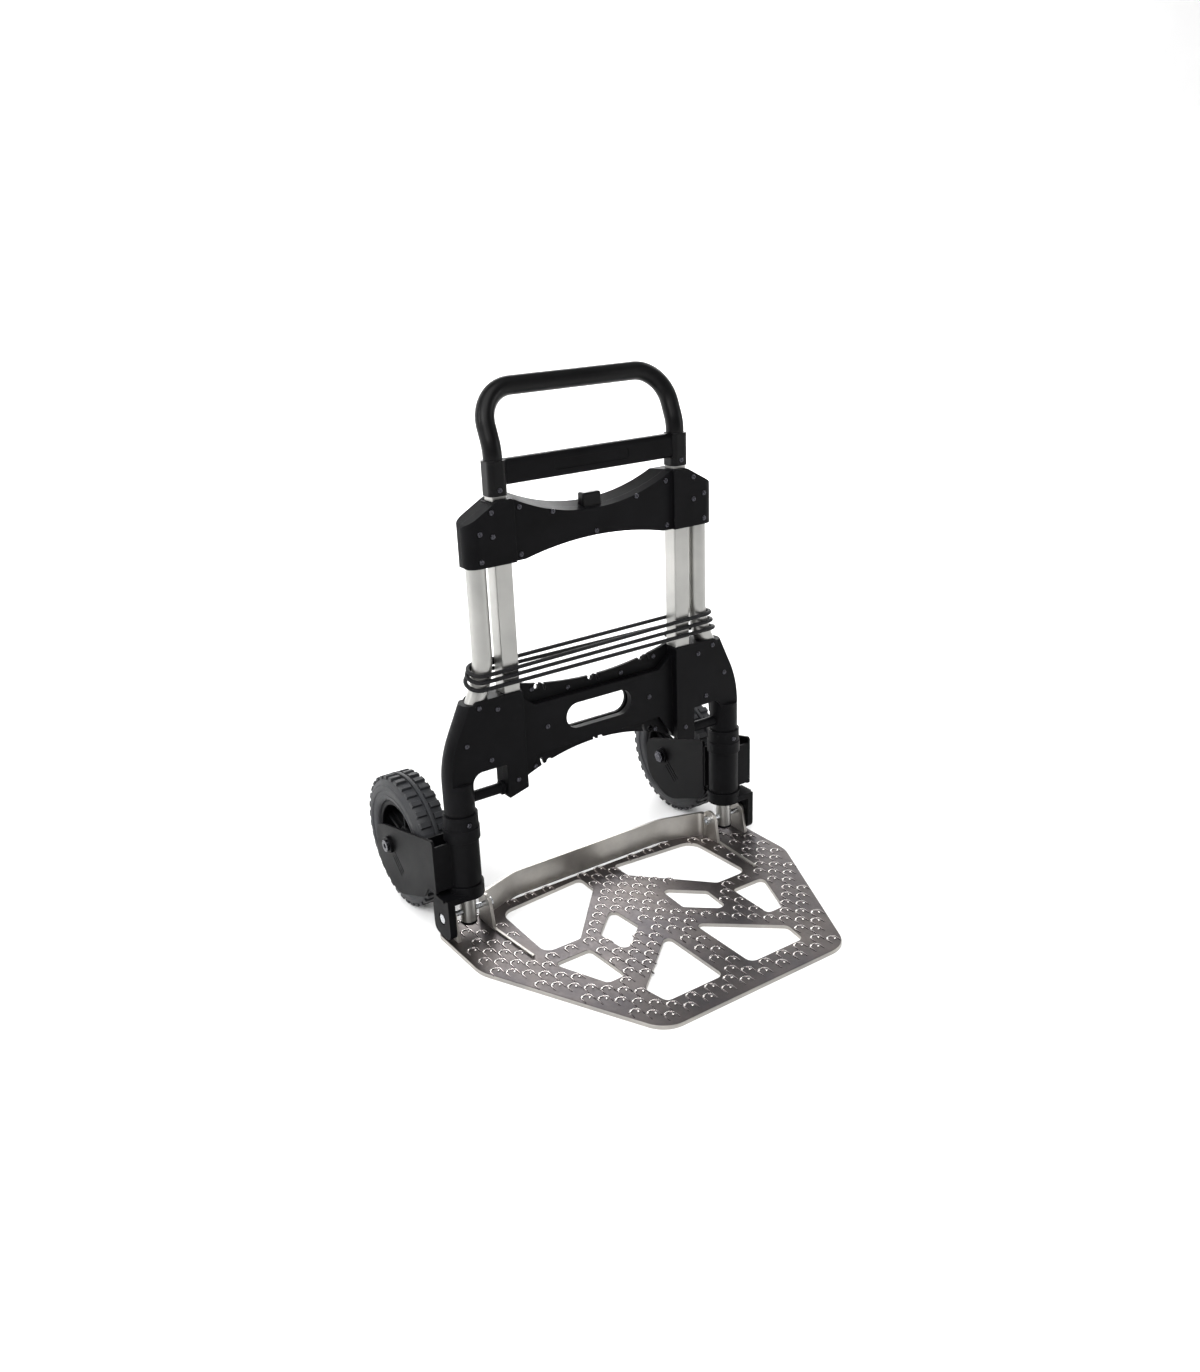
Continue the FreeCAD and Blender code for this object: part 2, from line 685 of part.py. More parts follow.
def hexagon(across_flats, x0, x1, y, z):
    r = across_flats / sqrt(3)
    points = [(y + r * cos(radians(60 * n)), z + r * sin(radians(60 * n)), 0) for n in range(6)]
    return slab(points, "side", x0, x1)


nut = hexagon(13.0, -cheek_x1 + 0.5, -cheek_x1 + 4.9, hinge_y, hinge_z)
nut = nut.cut(across(-cheek_x1 - 1, -cheek_x1 + 6, hinge_y, hinge_z, hinge_pin_d / 2 + seat_gap / 2))
save("hinge_nuts", both(nut))


# ---------------------------------------------------------------- toe plate
def half_holes():
    """Openings of the right half: rear, two small ones and front."""
    rear = [(31, 43, 9), (182, 31, 24), (186, -101, 16), (127, -101, 10), (33, 3, 8)]
    inner = [(45, -60, 8), (99, -110, 7), (93, -170, 10), (41, -124, 8)]
    outer = [(131, -131, 7), (193, -131, 8), (158, -214, 9), (128, -214, 8)]
    front = [(24, -166, 8), (128, -256, 12), (121, -295, 10), (24, -295, 12)]
    return [rear, inner, outer, front]


def plate_outline():
    w = plate_half_width
    f = plate_front_half
    right = [(f, plate_front_y, 42), (w, -85, 60), (w, flange_y - 22, 20), (leg_x + 18, flange_y - 6, 6)]
    left = [(-x, y, r) for x, y, r in reversed(right)]
    return right + left


def flange_outline():
    """Upturned rear edge: straight in the middle, curving forwards to the inner lugs."""
    x = lug_in_x + lug_thick
    near = hinge_y + 8.0
    bend = 138.0
    t = flange_thick
    right_back = [(bend, flange_back_y, 70), (x, near + 10 + t, 8), (x, near, 0)]
    right_front = [(x - t - 4, near, 0), (x - t - 4, near + 10, 8), (bend, flange_y, 66)]
    left_front = [(-a, b, r) for a, b, r in reversed(right_front)]
    left_back = [(-a, b, r) for a, b, r in reversed(right_back)]
    return right_back + right_front + left_front + left_back


def lug(x0):
    """Upright ear with a rounded top and a bore for the hinge pin."""
    foot = 22.0
    points = [(hinge_y - foot, plate_thick - 1, 0), (hinge_y + foot, plate_thick - 1, 0),
              (hinge_y + lug_radius, hinge_z, 0), (hinge_y - lug_radius, hinge_z, 0)]
    ear = slab(points, "side", x0, x0 + lug_thick)
    return ear.fuse(across(x0, x0 + lug_thick, hinge_y, hinge_z, lug_radius))


def toe_plate():
    base = slab(plate_outline(), "plan", 0, plate_thick)
    base = base.makeFillet(1.5, [e for e in base.Edges if abs(e.CenterOfMass.z - plate_thick) < 0.01])
    for hole in half_holes():
        tool = slab(hole, "plan", -1, plate_thick + 1)
        base = base.cut(both(tool))
    rim = slab(flange_outline(), "plan", plate_thick - 1, flange_top_z)
    ears = []
    for x0 in (-leg_x - lug_gap - lug_thick, -leg_x + lug_gap):
        ears += both(lug(x0))
    ribs = both(slab([(-lug_in_x - 1, hinge_y - 20, 1), (-lug_in_x - 5, hinge_y - 20, 1),
                      (-lug_in_x + 2, hinge_y - 118, 1), (-lug_in_x + 6, hinge_y - 118, 1)],
                     "plan", plate_thick - 1, plate_thick + 3))
    plate = fuse([base, rim] + ears + ribs)
    bore = across(-leg_x - 60, -leg_x + 60, hinge_y, hinge_z, hinge_pin_d / 2 + run_gap)
    return plate.cut(both(bore))


save("toe_plate", toe_plate())


# ---------------------------------------------------------------- forks
def fork_outline(front_y, front_low_z):
    """Cheek of the fork seen from the side."""
    top_front = front_low_z + 84.0
    r = 68.0
    return [(front_y, front_low_z, 4), (front_y, top_front, 5), (axle_y + 12, axle_z + 28, 22),
            (axle_y + 48, axle_z + 16, 26), (axle_y + 44, axle_z - 48, 40),
            (axle_y - 12, axle_z - r - 10, 50), (axis_y + 34, 62, 18), (axis_y + 18, front_low_z, 8)]


sleeve_low_z = foot_collar_top_z + free_gap
sleeve_top_z = collar_low_z - free_gap
sleeve_r = sleeve_d / 2


def cheek_grooves(x0, x1):
    """Three parallel grooves, slanting up to the rear below the axle."""
    run = V(0, cos(radians(groove_slant)), sin(radians(groove_slant))) * (groove_length / 2)
    step = V(0, -sin(radians(groove_slant)), cos(radians(groove_slant)))
    tools = []
    for n in (-1, 0, 1):
        middle = V(0, axle_y - 24, axle_z - 23) + step * (n * groove_pitch)
        side = step * (groove_w / 2)
        corners = [middle - run - side, middle + run - side, middle + run + side, middle - run + side]
        tools.append(slab([(q.y, q.z, groove_w / 2 - 0.1) for q in corners], "side", x0, x1))
    return tools


def fork():
    """Left fork: turning sleeve, two cheeks and the walls that join them."""
    out_x = -leg_x - fork_out - fork_wall
    in_x = -leg_x + fork_in + fork_wall
    low_z = foot_collar_top_z - 3.0
    outer = slab(fork_outline(axis_y - 7, low_z), "side", out_x, out_x + fork_wall)
    inner = slab(fork_outline(axis_y + 29, low_z), "side", in_x - fork_wall, in_x)
    sleeve = upright(-leg_x, axis_y, sleeve_low_z, sleeve_top_z, sleeve_r)
    wall_top = low_z + 78.0
    # wall from the outer cheek to the sleeve, then the web in front of the tyre
    near_y = axis_y - 7
    front = box(out_x + 1, -leg_x - sleeve_r + 6, near_y, near_y + fork_wall, sleeve_low_z, sleeve_top_z)
    web = box(out_x + 1, in_x - 1, axis_y + 25, axis_y + 25 + fork_wall, sleeve_low_z, sleeve_top_z)
    link = box(-leg_x - 12, -leg_x + 12, axis_y + 10, axis_y + 27, sleeve_low_z, sleeve_top_z)
    bosses = []
    for x0, x1 in ((out_x - 5, out_x + 1), (in_x - 1, in_x + 5)):
        bosses.append(across(x0, x1, axle_y, axle_z, 13.0))
    hub_face = tyre_width / 2 + 1.5
    for x0, x1 in ((out_x + fork_wall - 1, -wheel_x - hub_face), (-wheel_x + hub_face, in_x - fork_wall + 1)):
        bosses.append(across(x0, x1, axle_y, axle_z, 11.0))
    body = fuse([outer, inner, sleeve, front, web, link] + bosses)
    return body.cut([upright(-leg_x, axis_y, sleeve_low_z - 1, sleeve_top_z + 1, round_r + run_gap),
                     across(out_x - 20, in_x + 20, axle_y, axle_z, axle_d / 2 + seat_gap / 2)]
                    + cheek_grooves(out_x - 1, out_x + groove_depth)
                    + cheek_grooves(in_x - groove_depth, in_x + 1))


save_pair("fork", fork())

# axle bolt through both cheeks, head outboard, nut inboard
fork_out_x = leg_x + fork_out + fork_wall + 5.0
fork_in_x = leg_x - fork_in - fork_wall - 5.0
axle_head = across(-fork_out_x - 4, -fork_out_x - 0.1, axle_y, axle_z, 9.0)
axle_head = axle_head.cut(across(-fork_out_x - 5, -fork_out_x - 2, axle_y, axle_z, 4.0))
axle = across(-fork_out_x - 0.1, -fork_in_x + 6, axle_y, axle_z, axle_d / 2)
save_pair("wheel_axle", fuse([axle_head, axle]))
axle_nut = hexagon(18.0, -fork_in_x + 0.1, -fork_in_x + 5, axle_y, axle_z)
axle_nut = axle_nut.cut(across(-fork_in_x - 1, -fork_in_x + 7, axle_y, axle_z, axle_d / 2 + seat_gap / 2))
save_pair("axle_nut", axle_nut)


# ---------------------------------------------------------------- wheels
def turned(points):
    """Ring about the left wheel's axle from (distance from centre plane, radius) points."""
    spots = [V(-wheel_x + a, axle_y, axle_z + r) for a, r in points]
    face = Part.Face(Part.makePolygon(spots + [spots[0]]))
    return face.revolve(V(-wheel_x, axle_y, axle_z), V(1, 0, 0), 360)


tread_depth = 4.0
lug_count = 36
lug_pitch = 360.0 / lug_count


def tyre():
    h = tyre_width / 2
    r = wheel_radius
    bead = rim_radius
    flank = [(h - 8, r - tread_depth), (h - 3, r - 9), (h, bead + 20), (h - 1, bead + 8), (h - 6, bead)]
    section = [(-a, b) for a, b in reversed(flank)] + flank
    carcass = turned(section)
    rib = turned([(-2.5, r - tread_depth - 1), (-2.5, r), (2.5, r), (2.5, r - tread_depth - 1)])
    blocks = [carcass, rib]
    root = axle_z + r - tread_depth - 2
    block = box(-wheel_x + 4.5, -wheel_x + h - 5, axle_y - 5, axle_y + 5, root, axle_z + r - 0.6)
    other = box(-wheel_x - h + 5, -wheel_x - 4.5, axle_y - 5, axle_y + 5, root, axle_z + r - 0.6)
    for n in range(lug_count):
        for piece, shift in ((block, 0.0), (other, 0.5)):
            turn = piece.copy()
            turn.rotate(V(-wheel_x, axle_y, axle_z), V(1, 0, 0), (n + shift) * lug_pitch)
            blocks.append(turn)
    return blocks[0].multiFuse(blocks[1:])


def rim():
    h = tyre_width / 2
    barrel = turned([(-h + 6.2, rim_radius - 7), (-h + 6.2, rim_radius - 0.05), (h - 6.2, rim_radius - 0.05),
                     (h - 6.2, rim_radius - 7)])
    bore = axle_d / 2 + 4
    hub = turned([(-h - 0.5, bore), (-h - 0.5, hub_radius), (h + 0.5, hub_radius), (h + 0.5, bore)])
    spokes = []
    foot = axle_z + hub_radius - 3
    for n in range(5):
        spoke = box(-wheel_x - 7, -wheel_x + 7, axle_y - 6, axle_y + 6, foot, axle_z + rim_radius - 5)
        spoke.rotate(V(-wheel_x, axle_y, axle_z), V(1, 0, 0), 72 * n)
        spokes.append(spoke)
    return fuse([barrel, hub] + spokes)


save_pair("tyre", tyre())
save_pair("wheel_rim", rim())
bush_half = tyre_width / 2 + 0.5
bush_bore = axle_d / 2 + run_gap
bush_skin = axle_d / 2 + 3.95
bearing = turned([(-bush_half, bush_bore), (-bush_half, bush_skin), (bush_half, bush_skin),
                  (bush_half, bush_bore)])
save_pair("wheel_bush", bearing)


# ---------------------------------------------------------------- handle
handle_top_z = leg_sleeve_top_z - 20.0
handle_outer = square_post(-rail_x, handle_square, handle_low_z, handle_top_z, 1.5)
handle_inner = square_post(-rail_x, handle_square - 2 * handle_wall, handle_low_z - 1, handle_top_z + 1, 0.6)
catch_z = lock_z - handle_travel
catch = across(-rail_x, -rail_x + square_w, axis_y, catch_z, lock_d / 2 + slide_gap)
handle_screw_y = axis_y - leg_sleeve_w / 2
handle_screw_place = (-rail_x, handle_screw_y, leg_sleeve_low_z + 8.0, 9.5)
handle_tube = handle_outer.cut([handle_inner, catch, screw_hole(*handle_screw_place)])
save_pair("handle_tube", handle_tube)
shoe = square_post(-rail_x, square_bore - 0.4, handle_low_z - 6, handle_low_z, 1.0)
core_w = handle_square - 2 * handle_wall - 0.1
shoe_core = square_post(-rail_x, core_w, handle_low_z - 1, handle_low_z + 14, 0.5)
shoe = fuse([shoe, shoe_core])
save_pair("handle_shoe", shoe)


def grip_path():
    """Centre line of the grip: up one leg, leaning back, over the top and down the other."""
    base = leg_sleeve_top_z
    rise = grip_top_z - base
    slant = sqrt(rise ** 2 + grip_lean ** 2)
    up = V(0, grip_lean / slant, rise / slant)
    r = grip_corner

    def spot(x, along_leg):
        return V(x, axis_y, base) + up * along_leg

    left_end = spot(-rail_x, slant - r)
    left_top = spot(-rail_x + r, slant)
    left_mid = spot(-rail_x + r * (1 - cos(pi / 4)), slant - r * (1 - sin(pi / 4)))
    right_top = spot(rail_x - r, slant)
    right_mid = spot(rail_x - r * (1 - cos(pi / 4)), slant - r * (1 - sin(pi / 4)))
    right_end = spot(rail_x, slant - r)
    # a short bend turns the upright leg into the lean
    knee = 12.0
    low_left = V(-rail_x, axis_y, base - knee)
    low_right = V(rail_x, axis_y, base - knee)
    high_left = spot(-rail_x, knee)
    high_right = spot(rail_x, knee)
    tilt = atan2(grip_lean, rise)
    bulge = knee * tan(tilt / 2) / 2
    toward = V(0, cos(tilt / 2), -sin(tilt / 2))
    mid_left = V(-rail_x, axis_y, base) + toward * bulge
    mid_right = V(rail_x, axis_y, base) + toward * bulge
    return [line(V(-rail_x, axis_y, base - 30), low_left), arc(low_left, mid_left, high_left),
            line(high_left, left_end), arc(left_end, left_mid, left_top), line(left_top, right_top),
            arc(right_top, right_mid, right_end), line(right_end, high_right),
            arc(high_right, mid_right, low_right), line(low_right, V(rail_x, axis_y, base - 30))]


grip = swept(grip_path(), grip_d / 2)
sleeves = []
for leg in both(square_post(-rail_x, leg_sleeve_w, leg_sleeve_low_z, leg_sleeve_top_z - 14, 8.0)):
    sleeves.append(leg)
grip = fuse([grip] + sleeves)
socket = square_post(-rail_x, handle_square + 2 * seat_gap, leg_sleeve_low_z - 1, handle_top_z + 0.2, 1.6)
bar_reach = rail_x - leg_sleeve_w / 2 + 4.0
bar_half_y = crossbar_depth / 2 + 0.1
bar_half_z = crossbar_height / 2 + 0.1
bar_socket = box(-bar_reach - 0.1, bar_reach + 0.1, axis_y - bar_half_y, axis_y + bar_half_y,
                 crossbar_z - bar_half_z, crossbar_z + bar_half_z)
grip = grip.cut(both(socket) + [bar_socket])
grip = grip.cut(both(screw_hole(*handle_screw_place)))
save("handle_grip", grip)
save("handle_screws", both(screw(*handle_screw_place)))

# crossbar between the legs, keyed into them, with a blank recessed panel on its front
tongue_reach = rail_x - handle_square / 2 - 0.4
panel_half = 61.0
h = crossbar_height / 2
d = crossbar_depth / 2
section = [(axis_y - d, crossbar_z - h, 6), (axis_y + d, crossbar_z - h, 6), (axis_y + d, crossbar_z + h, 8),
           (axis_y - d, crossbar_z + h, 8)]
crossbar = slab(section, "side", -tongue_reach, tongue_reach)
recess = [(-panel_half, crossbar_z - 7, 4), (panel_half, crossbar_z - 7, 4),
          (panel_half, crossbar_z + 7, 4), (-panel_half, crossbar_z + 7, 4)]
panel = slab(recess, "front", axis_y - d - 1, axis_y - d + 0.8)
save("handle_crossbar", crossbar.cut(panel))


# ---------------------------------------------------------------- release mechanism
plate_y0 = axis_y - 2.0
plate_y1 = axis_y + 2.0
cap_low_z = lock_z + lock_d / 2 + release_stroke + free_gap      # stays above the bolts when pressed
half_w = button_w / 2
half_y = button_depth / 2
cap = box(-half_w, half_w, button_y - half_y, button_y + half_y, cap_low_z, button_top_z)
rounded = [e for e in cap.Edges if abs(e.CenterOfMass.z - button_top_z) < 0.01 or e.BoundBox.ZLength > 10]
cap = cap.makeFillet(3.0, rounded)
stem_low_z = lock_z - 8.0
stem_half = half_w - 1.5
stem = box(-stem_half, stem_half, plate_y0, plate_y1, stem_low_z, cap_low_z + 1)
button = fuse([cap, stem])
slot_r = lock_pin_d / 2 + slide_gap
for side in (-1, 1):
    near = V(side * lock_pin_x, plate_y0 - 1, lock_z)
    far = V(side * (lock_pin_x - release_stroke), plate_y0 - 1, lock_z + release_stroke)
    button = button.cut([rod(near.x, near.y, near.z, V(0, 1, 0), slot_r, 6),
                         rod(far.x, far.y, far.z, V(0, 1, 0), slot_r, 6)])
    step = V(slot_r * side / sqrt(2), 0, slot_r / sqrt(2))
    corners = [near + step, far + step, far - step, near - step]
    face = Part.Face(Part.makePolygon(corners + [corners[0]]))
    button = button.cut(face.extrude(V(0, 6, 0)))
save("release_button", button)
spring_x = 9.8
spring_low_z = room_low_z + 0.1
spring_height = stem_low_z - release_stroke - spring_low_z - 1.4
springs = []
for side in (-1, 1):
    foot = V(side * spring_x, axis_y, spring_low_z + 0.5)
    springs.append(coil(foot, V(0, 0, 1), 3.2, 0.9, spring_height, 3))
save("button_springs", springs)

# lock bolts: sprung outwards, drawn in by the pins in the button's slanted slots
lock_tip_x = rail_x - handle_square / 2 - 0.5
bolt_collar_x = 90.0
bolt_end_x = stem_half + release_stroke + free_gap      # clears the stem when drawn in
bolt = across(-lock_tip_x, -bolt_end_x, axis_y, lock_z, lock_d / 2)
tongue_y = plate_y1 + slide_gap
tongue = box(-bolt_end_x - 1, -lock_pin_x + 3, tongue_y, axis_y + lock_d / 2, lock_z - 3, lock_z + 3)
follower = along(-lock_pin_x, plate_y0, axis_y + lock_d / 2, lock_z, lock_pin_d / 2)
bolt_collar = across(-bolt_collar_x, -bolt_collar_x + 3, axis_y, lock_z, lock_d / 2 + 2)
save_pair("lock_bolt", fuse([bolt, tongue, follower, bolt_collar]))
spring_start = rib_x + rib_thick / 2 + 0.6
spring_length = bolt_collar_x - 3 - release_stroke - spring_start - 1.0
lock_spring = coil(V(-spring_start, axis_y, lock_z), V(-1, 0, 0), lock_d / 2 + 1.0, 1.0, spring_length, 5)
save("lock_springs", both(lock_spring))


# ---------------------------------------------------------------- elastic cord
def bend_to(start, corner, stop):
    """Arc from start to stop, tangent to the two equal legs that meet at the corner."""
    a = start - corner
    b = stop - corner
    half = a.getAngle(b) / 2
    inward = (a.normalize() + b.normalize()).normalize()
    leg = (start - corner).Length
    radius = leg * tan(half)
    middle = corner + inward * (leg / cos(half) - radius)
    return arc(start, middle, stop)


def turn_back(p, heading, q, onward):
    """Two tangent arcs from p, travelling along heading, to q, leaving along onward."""
    gap = q - p
    total = heading + onward
    square = 2 * (heading.dot(onward) - 1)
    slope = -2 * gap.dot(total)
    reach = (-slope - sqrt(slope ** 2 - 4 * square * gap.dot(gap))) / (2 * square)
    first = p + heading * reach
    last = q - onward * reach
    joint = (first + last) * 0.5
    return [bend_to(p, first, joint), bend_to(joint, last, q)]


def cord_route():
    """Three windings round the four uprights, both ends tucked behind the square tubes."""
    wrap = round_r + cord_d / 2 + cord_gap
    front_y = axis_y - wrap
    rear_y = axis_y + wrap

    def beside(side, y, z):
        return V(side * (tube_x(z - cord_d) + cord_gap), y, z)

    # heights where each straight run leaves and reaches the round tubes, from the top winding down
    rear_left = [cord_z + n * cord_pitch for n in (2.1, 1.5, 0.7)]
    front_left = [cord_z + n * cord_pitch for n in (1.25, 0.3, -0.8)]
    front_right = [cord_z + n * cord_pitch for n in (2.1, 0.8, -0.5)]
    rear_right = [cord_z + n * cord_pitch for n in (1.9, 0.4, -1.1)]
    spots = [V(-cord_end_x, rear_y, rear_left[0])]
    for n in range(3):
        spots += [beside(-1, rear_y, rear_left[n]), beside(-1, front_y, front_left[n])]
        spots += [beside(1, front_y, front_right[n]), beside(1, rear_y, rear_right[n])]
    spots.append(V(cord_end_x, rear_y, rear_right[-1]))
    edges = []
    for n in range(0, len(spots), 2):
        edges.append(line(spots[n], spots[n + 1]))
        if n + 2 < len(spots):
            heading = (spots[n + 1] - spots[n]).normalize()
            onward = (spots[n + 3] - spots[n + 2]).normalize()
            edges += turn_back(spots[n + 1], heading, spots[n + 2], onward)
    return edges


route = cord_route()
save("bungee_cord", swept(route, cord_d / 2))
# a sleeve crimped on each end
crimp_r = cord_d / 2 + 1.0
crimps = []
first = route[0].valueAt(route[0].FirstParameter)
last = route[-1].valueAt(route[-1].LastParameter)
for tip, side in ((first, -1), (last, 1)):
    sleeve = rod(tip.x - side * 1.5, tip.y, tip.z, V(side, 0, 0), crimp_r, 10.0)
    crimps.append(sleeve.cut(rod(tip.x, tip.y, tip.z, V(side, 0, 0), cord_d / 2 + 0.05, 10.0)))
save("bungee_crimps", crimps)
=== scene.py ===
import math

import bmesh
import bpy
from mathutils import Matrix, Vector


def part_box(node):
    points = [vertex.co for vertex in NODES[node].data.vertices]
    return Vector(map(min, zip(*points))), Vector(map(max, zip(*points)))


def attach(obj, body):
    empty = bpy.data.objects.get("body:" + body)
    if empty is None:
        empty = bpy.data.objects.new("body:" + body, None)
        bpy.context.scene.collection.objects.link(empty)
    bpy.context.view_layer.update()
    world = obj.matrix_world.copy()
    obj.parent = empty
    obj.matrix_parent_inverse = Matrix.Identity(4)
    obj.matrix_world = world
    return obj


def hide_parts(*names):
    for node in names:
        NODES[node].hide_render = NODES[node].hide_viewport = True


bl_info = {
    "name": "Folding hand truck",
    "version": (1, 0, 0),
    "blender": (4, 5, 0),
    "location": "3D View > Sidebar > Hand truck",
    "description": "Finishes, tread, tyres, screws and studio for a folding hand truck",
    "category": "Object",
}

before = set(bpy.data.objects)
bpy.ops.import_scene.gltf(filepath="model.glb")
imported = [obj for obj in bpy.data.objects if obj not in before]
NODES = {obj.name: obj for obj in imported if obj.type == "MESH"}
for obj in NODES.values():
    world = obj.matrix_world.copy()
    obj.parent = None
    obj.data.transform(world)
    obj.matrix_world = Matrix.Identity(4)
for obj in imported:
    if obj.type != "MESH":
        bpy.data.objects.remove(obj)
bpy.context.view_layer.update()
MM = 0.001
SIDES = ("left", "right")
WELD = 1e-6                     # points closer than this are one point
PLATE_TOP = 6.0 * MM            # the toe plate's flat top above its underside


# ------------------------------------------------------------------ small helpers
def paint(code):
    """Linear colour from an sRGB hex value."""
    parts = [int(code[i:i + 2], 16) / 255 for i in (1, 3, 5)]
    linear = [c / 12.92 if c <= 0.04045 else ((c + 0.055) / 1.055) ** 2.4 for c in parts]
    return (*linear, 1.0)


def add(tree, kind, inputs=None, links=None, **settings):
    """A node with its settings, its input values and what feeds its inputs."""
    made = tree.nodes.new(kind)
    for key, value in settings.items():
        setattr(made, key, value)
    for key, value in (inputs or {}).items():
        made.inputs[key].default_value = value
    for key, source in (links or {}).items():
        tree.links.new(source, made.inputs[key])
    return made


def ramp(tree, source, stops):
    """Colour ramp from (position, linear colour) stops."""
    made = add(tree, "ShaderNodeValToRGB", links={"Fac": source})
    bar = made.color_ramp
    bar.elements[0].position, bar.elements[0].color = stops[0]
    bar.elements[1].position, bar.elements[1].color = stops[1]
    for position, colour in stops[2:]:
        bar.elements.new(position).color = colour
    return made


def finish_material(name, **constants):
    """Material with a Principled shader whose even values sit on its own sockets."""
    material = bpy.data.materials.new(name)
    material.use_nodes = True
    tree = material.node_tree
    shader = tree.nodes["Principled BSDF"]
    for key, value in constants.items():
        shader.inputs[key.replace("_", " ")].default_value = value
    where = add(tree, "ShaderNodeTexCoord").outputs["Object"]
    return material, tree, shader, where


def noise(tree, where, scale, detail, roughness=0.5):
    """Noise laid over the given coordinates; returns its value."""
    made = add(tree, "ShaderNodeTexNoise", {"Scale": scale, "Detail": detail, "Roughness": roughness},
               {"Vector": where})
    return made.outputs["Fac"]


def spread(tree, source, start, end, low, high):
    """Maps start..end of the source onto low..high."""
    made = add(tree, "ShaderNodeMapRange",
               {"From Min": start, "From Max": end, "To Min": low, "To Max": high}, {"Value": source})
    return made.outputs["Result"]


def relief(tree, height, strength, distance, rounding):
    """Fine bump over edges eased by the given radius; returns its normal."""
    made = add(tree, "ShaderNodeBump", {"Strength": strength, "Distance": distance},
               {"Height": height, "Normal": wear(tree, rounding)})
    return made.outputs["Normal"]


def feed(tree, shader, colour, rough, normal):
    """Links what varies over the surface to the shader."""
    tree.links.new(colour, shader.inputs["Base Color"])
    tree.links.new(rough, shader.inputs["Roughness"])
    tree.links.new(normal, shader.inputs["Normal"])


def wear(tree, rounding):
    """Normal whose sharp edges look eased by the given radius."""
    return add(tree, "ShaderNodeBevel", {"Radius": rounding}, samples=6).outputs["Normal"]


# ------------------------------------------------------------------ materials
def glass_filled_nylon(name, tone, rounding):
    """Injection-moulded nylon: near black, satin, with a fine spark-eroded grain and eased edges."""
    material, tree, shader, where = finish_material(name, IOR=1.5, Specular_IOR_Level=0.07)
    # the real grain is about 0.3 mm; drawn at 1.1 mm so that it shows
    grain = noise(tree, where, 900.0, 3.0, 0.6)
    cloud = noise(tree, where, 14.0, 4.0, 0.55)
    tint = ramp(tree, cloud, [(0.3, paint(tone)), (0.75, paint("#0d0d0f"))])
    sheen = spread(tree, cloud, 0.3, 0.7, 0.42, 0.56)
    bump = relief(tree, grain, 0.22, 0.0003, rounding)
    feed(tree, shader, tint.outputs["Color"], sheen, bump)
    return material


def satin_abs():
    """Smooth ABS grip: deep black with a soft sheen and faint handling marks."""
    material, tree, shader, where = finish_material("satin_abs", IOR=1.5, Specular_IOR_Level=0.14)
    smear = noise(tree, where, 35.0, 5.0, 0.6)
    tint = ramp(tree, smear, [(0.35, paint("#050506")), (0.8, paint("#0a0a0b"))])
    sheen = spread(tree, smear, 0.35, 0.75, 0.3, 0.4)
    bump = relief(tree, smear, 0.05, 0.0002, 0.0008)
    feed(tree, shader, tint.outputs["Color"], sheen, bump)
    return material


def satin_anodised_aluminium():
    """Drawn tube, etched and clear anodised: pale, soft, with faint draw lines along its length."""
    material, tree, shader, where = finish_material("satin_anodised_aluminium", Metallic=1.0)
    # draw lines about 0.6 mm apart and far longer than they are wide
    along = add(tree, "ShaderNodeMapping", {"Scale": (1600.0, 1600.0, 9.0)}, {"Vector": where})
    lines = noise(tree, along.outputs["Vector"], 1.0, 3.0)
    cloud = noise(tree, where, 18.0, 3.0)
    tint = ramp(tree, cloud, [(0.3, paint("#9d9d9a")), (0.7, paint("#abaaa7"))])
    sheen = spread(tree, lines, 0.25, 0.75, 0.34, 0.46)
    bump = relief(tree, lines, 0.08, 0.0001, 0.0006)
    feed(tree, shader, tint.outputs["Color"], sheen, bump)
    return material


def tumbled_cast_aluminium():
    """Die-cast aluminium: the flat top is tinted darker as painted shade, the edges, walls and flange lighter
    as painted highlight.
    """
    material, tree, shader, where = finish_material("tumbled_cast_aluminium", Metallic=1.0)
    peel = noise(tree, where, 260.0, 4.0, 0.6)
    cloud = noise(tree, where, 9.0, 5.0, 0.6)
    # painted shade: the flat top gets the darker tint; painted highlight: everything off the flat top gets
    # the lighter tint
    painted_shade_tint = ramp(tree, cloud, [(0.28, paint("#474448")), (0.72, paint("#625c59"))])
    painted_highlight_tint = ramp(tree, cloud, [(0.28, paint("#8f8d8a")), (0.72, paint("#b4b0aa"))])
    parts = add(tree, "ShaderNodeSeparateXYZ", links={"Vector": where})
    off_level = add(tree, "ShaderNodeMath", {1: PLATE_TOP}, {0: parts.outputs["Z"]}, operation="SUBTRACT")
    off_level = add(tree, "ShaderNodeMath", links={0: off_level.outputs[0]}, operation="ABSOLUTE")
    flat = spread(tree, off_level.outputs[0], 0.15 * MM, 0.7 * MM, 1.0, 0.0)
    tint = add(tree, "ShaderNodeMix", links={"Factor": flat}, data_type="RGBA")
    tree.links.new(painted_highlight_tint.outputs["Color"], tint.inputs[6])
    tree.links.new(painted_shade_tint.outputs["Color"], tint.inputs[7])
    sheen = spread(tree, peel, 0.3, 0.7, 0.34, 0.5)
    bump = relief(tree, peel, 0.3, 0.0003, 0.0012)
    feed(tree, shader, tint.outputs[2], sheen, bump)
    return material


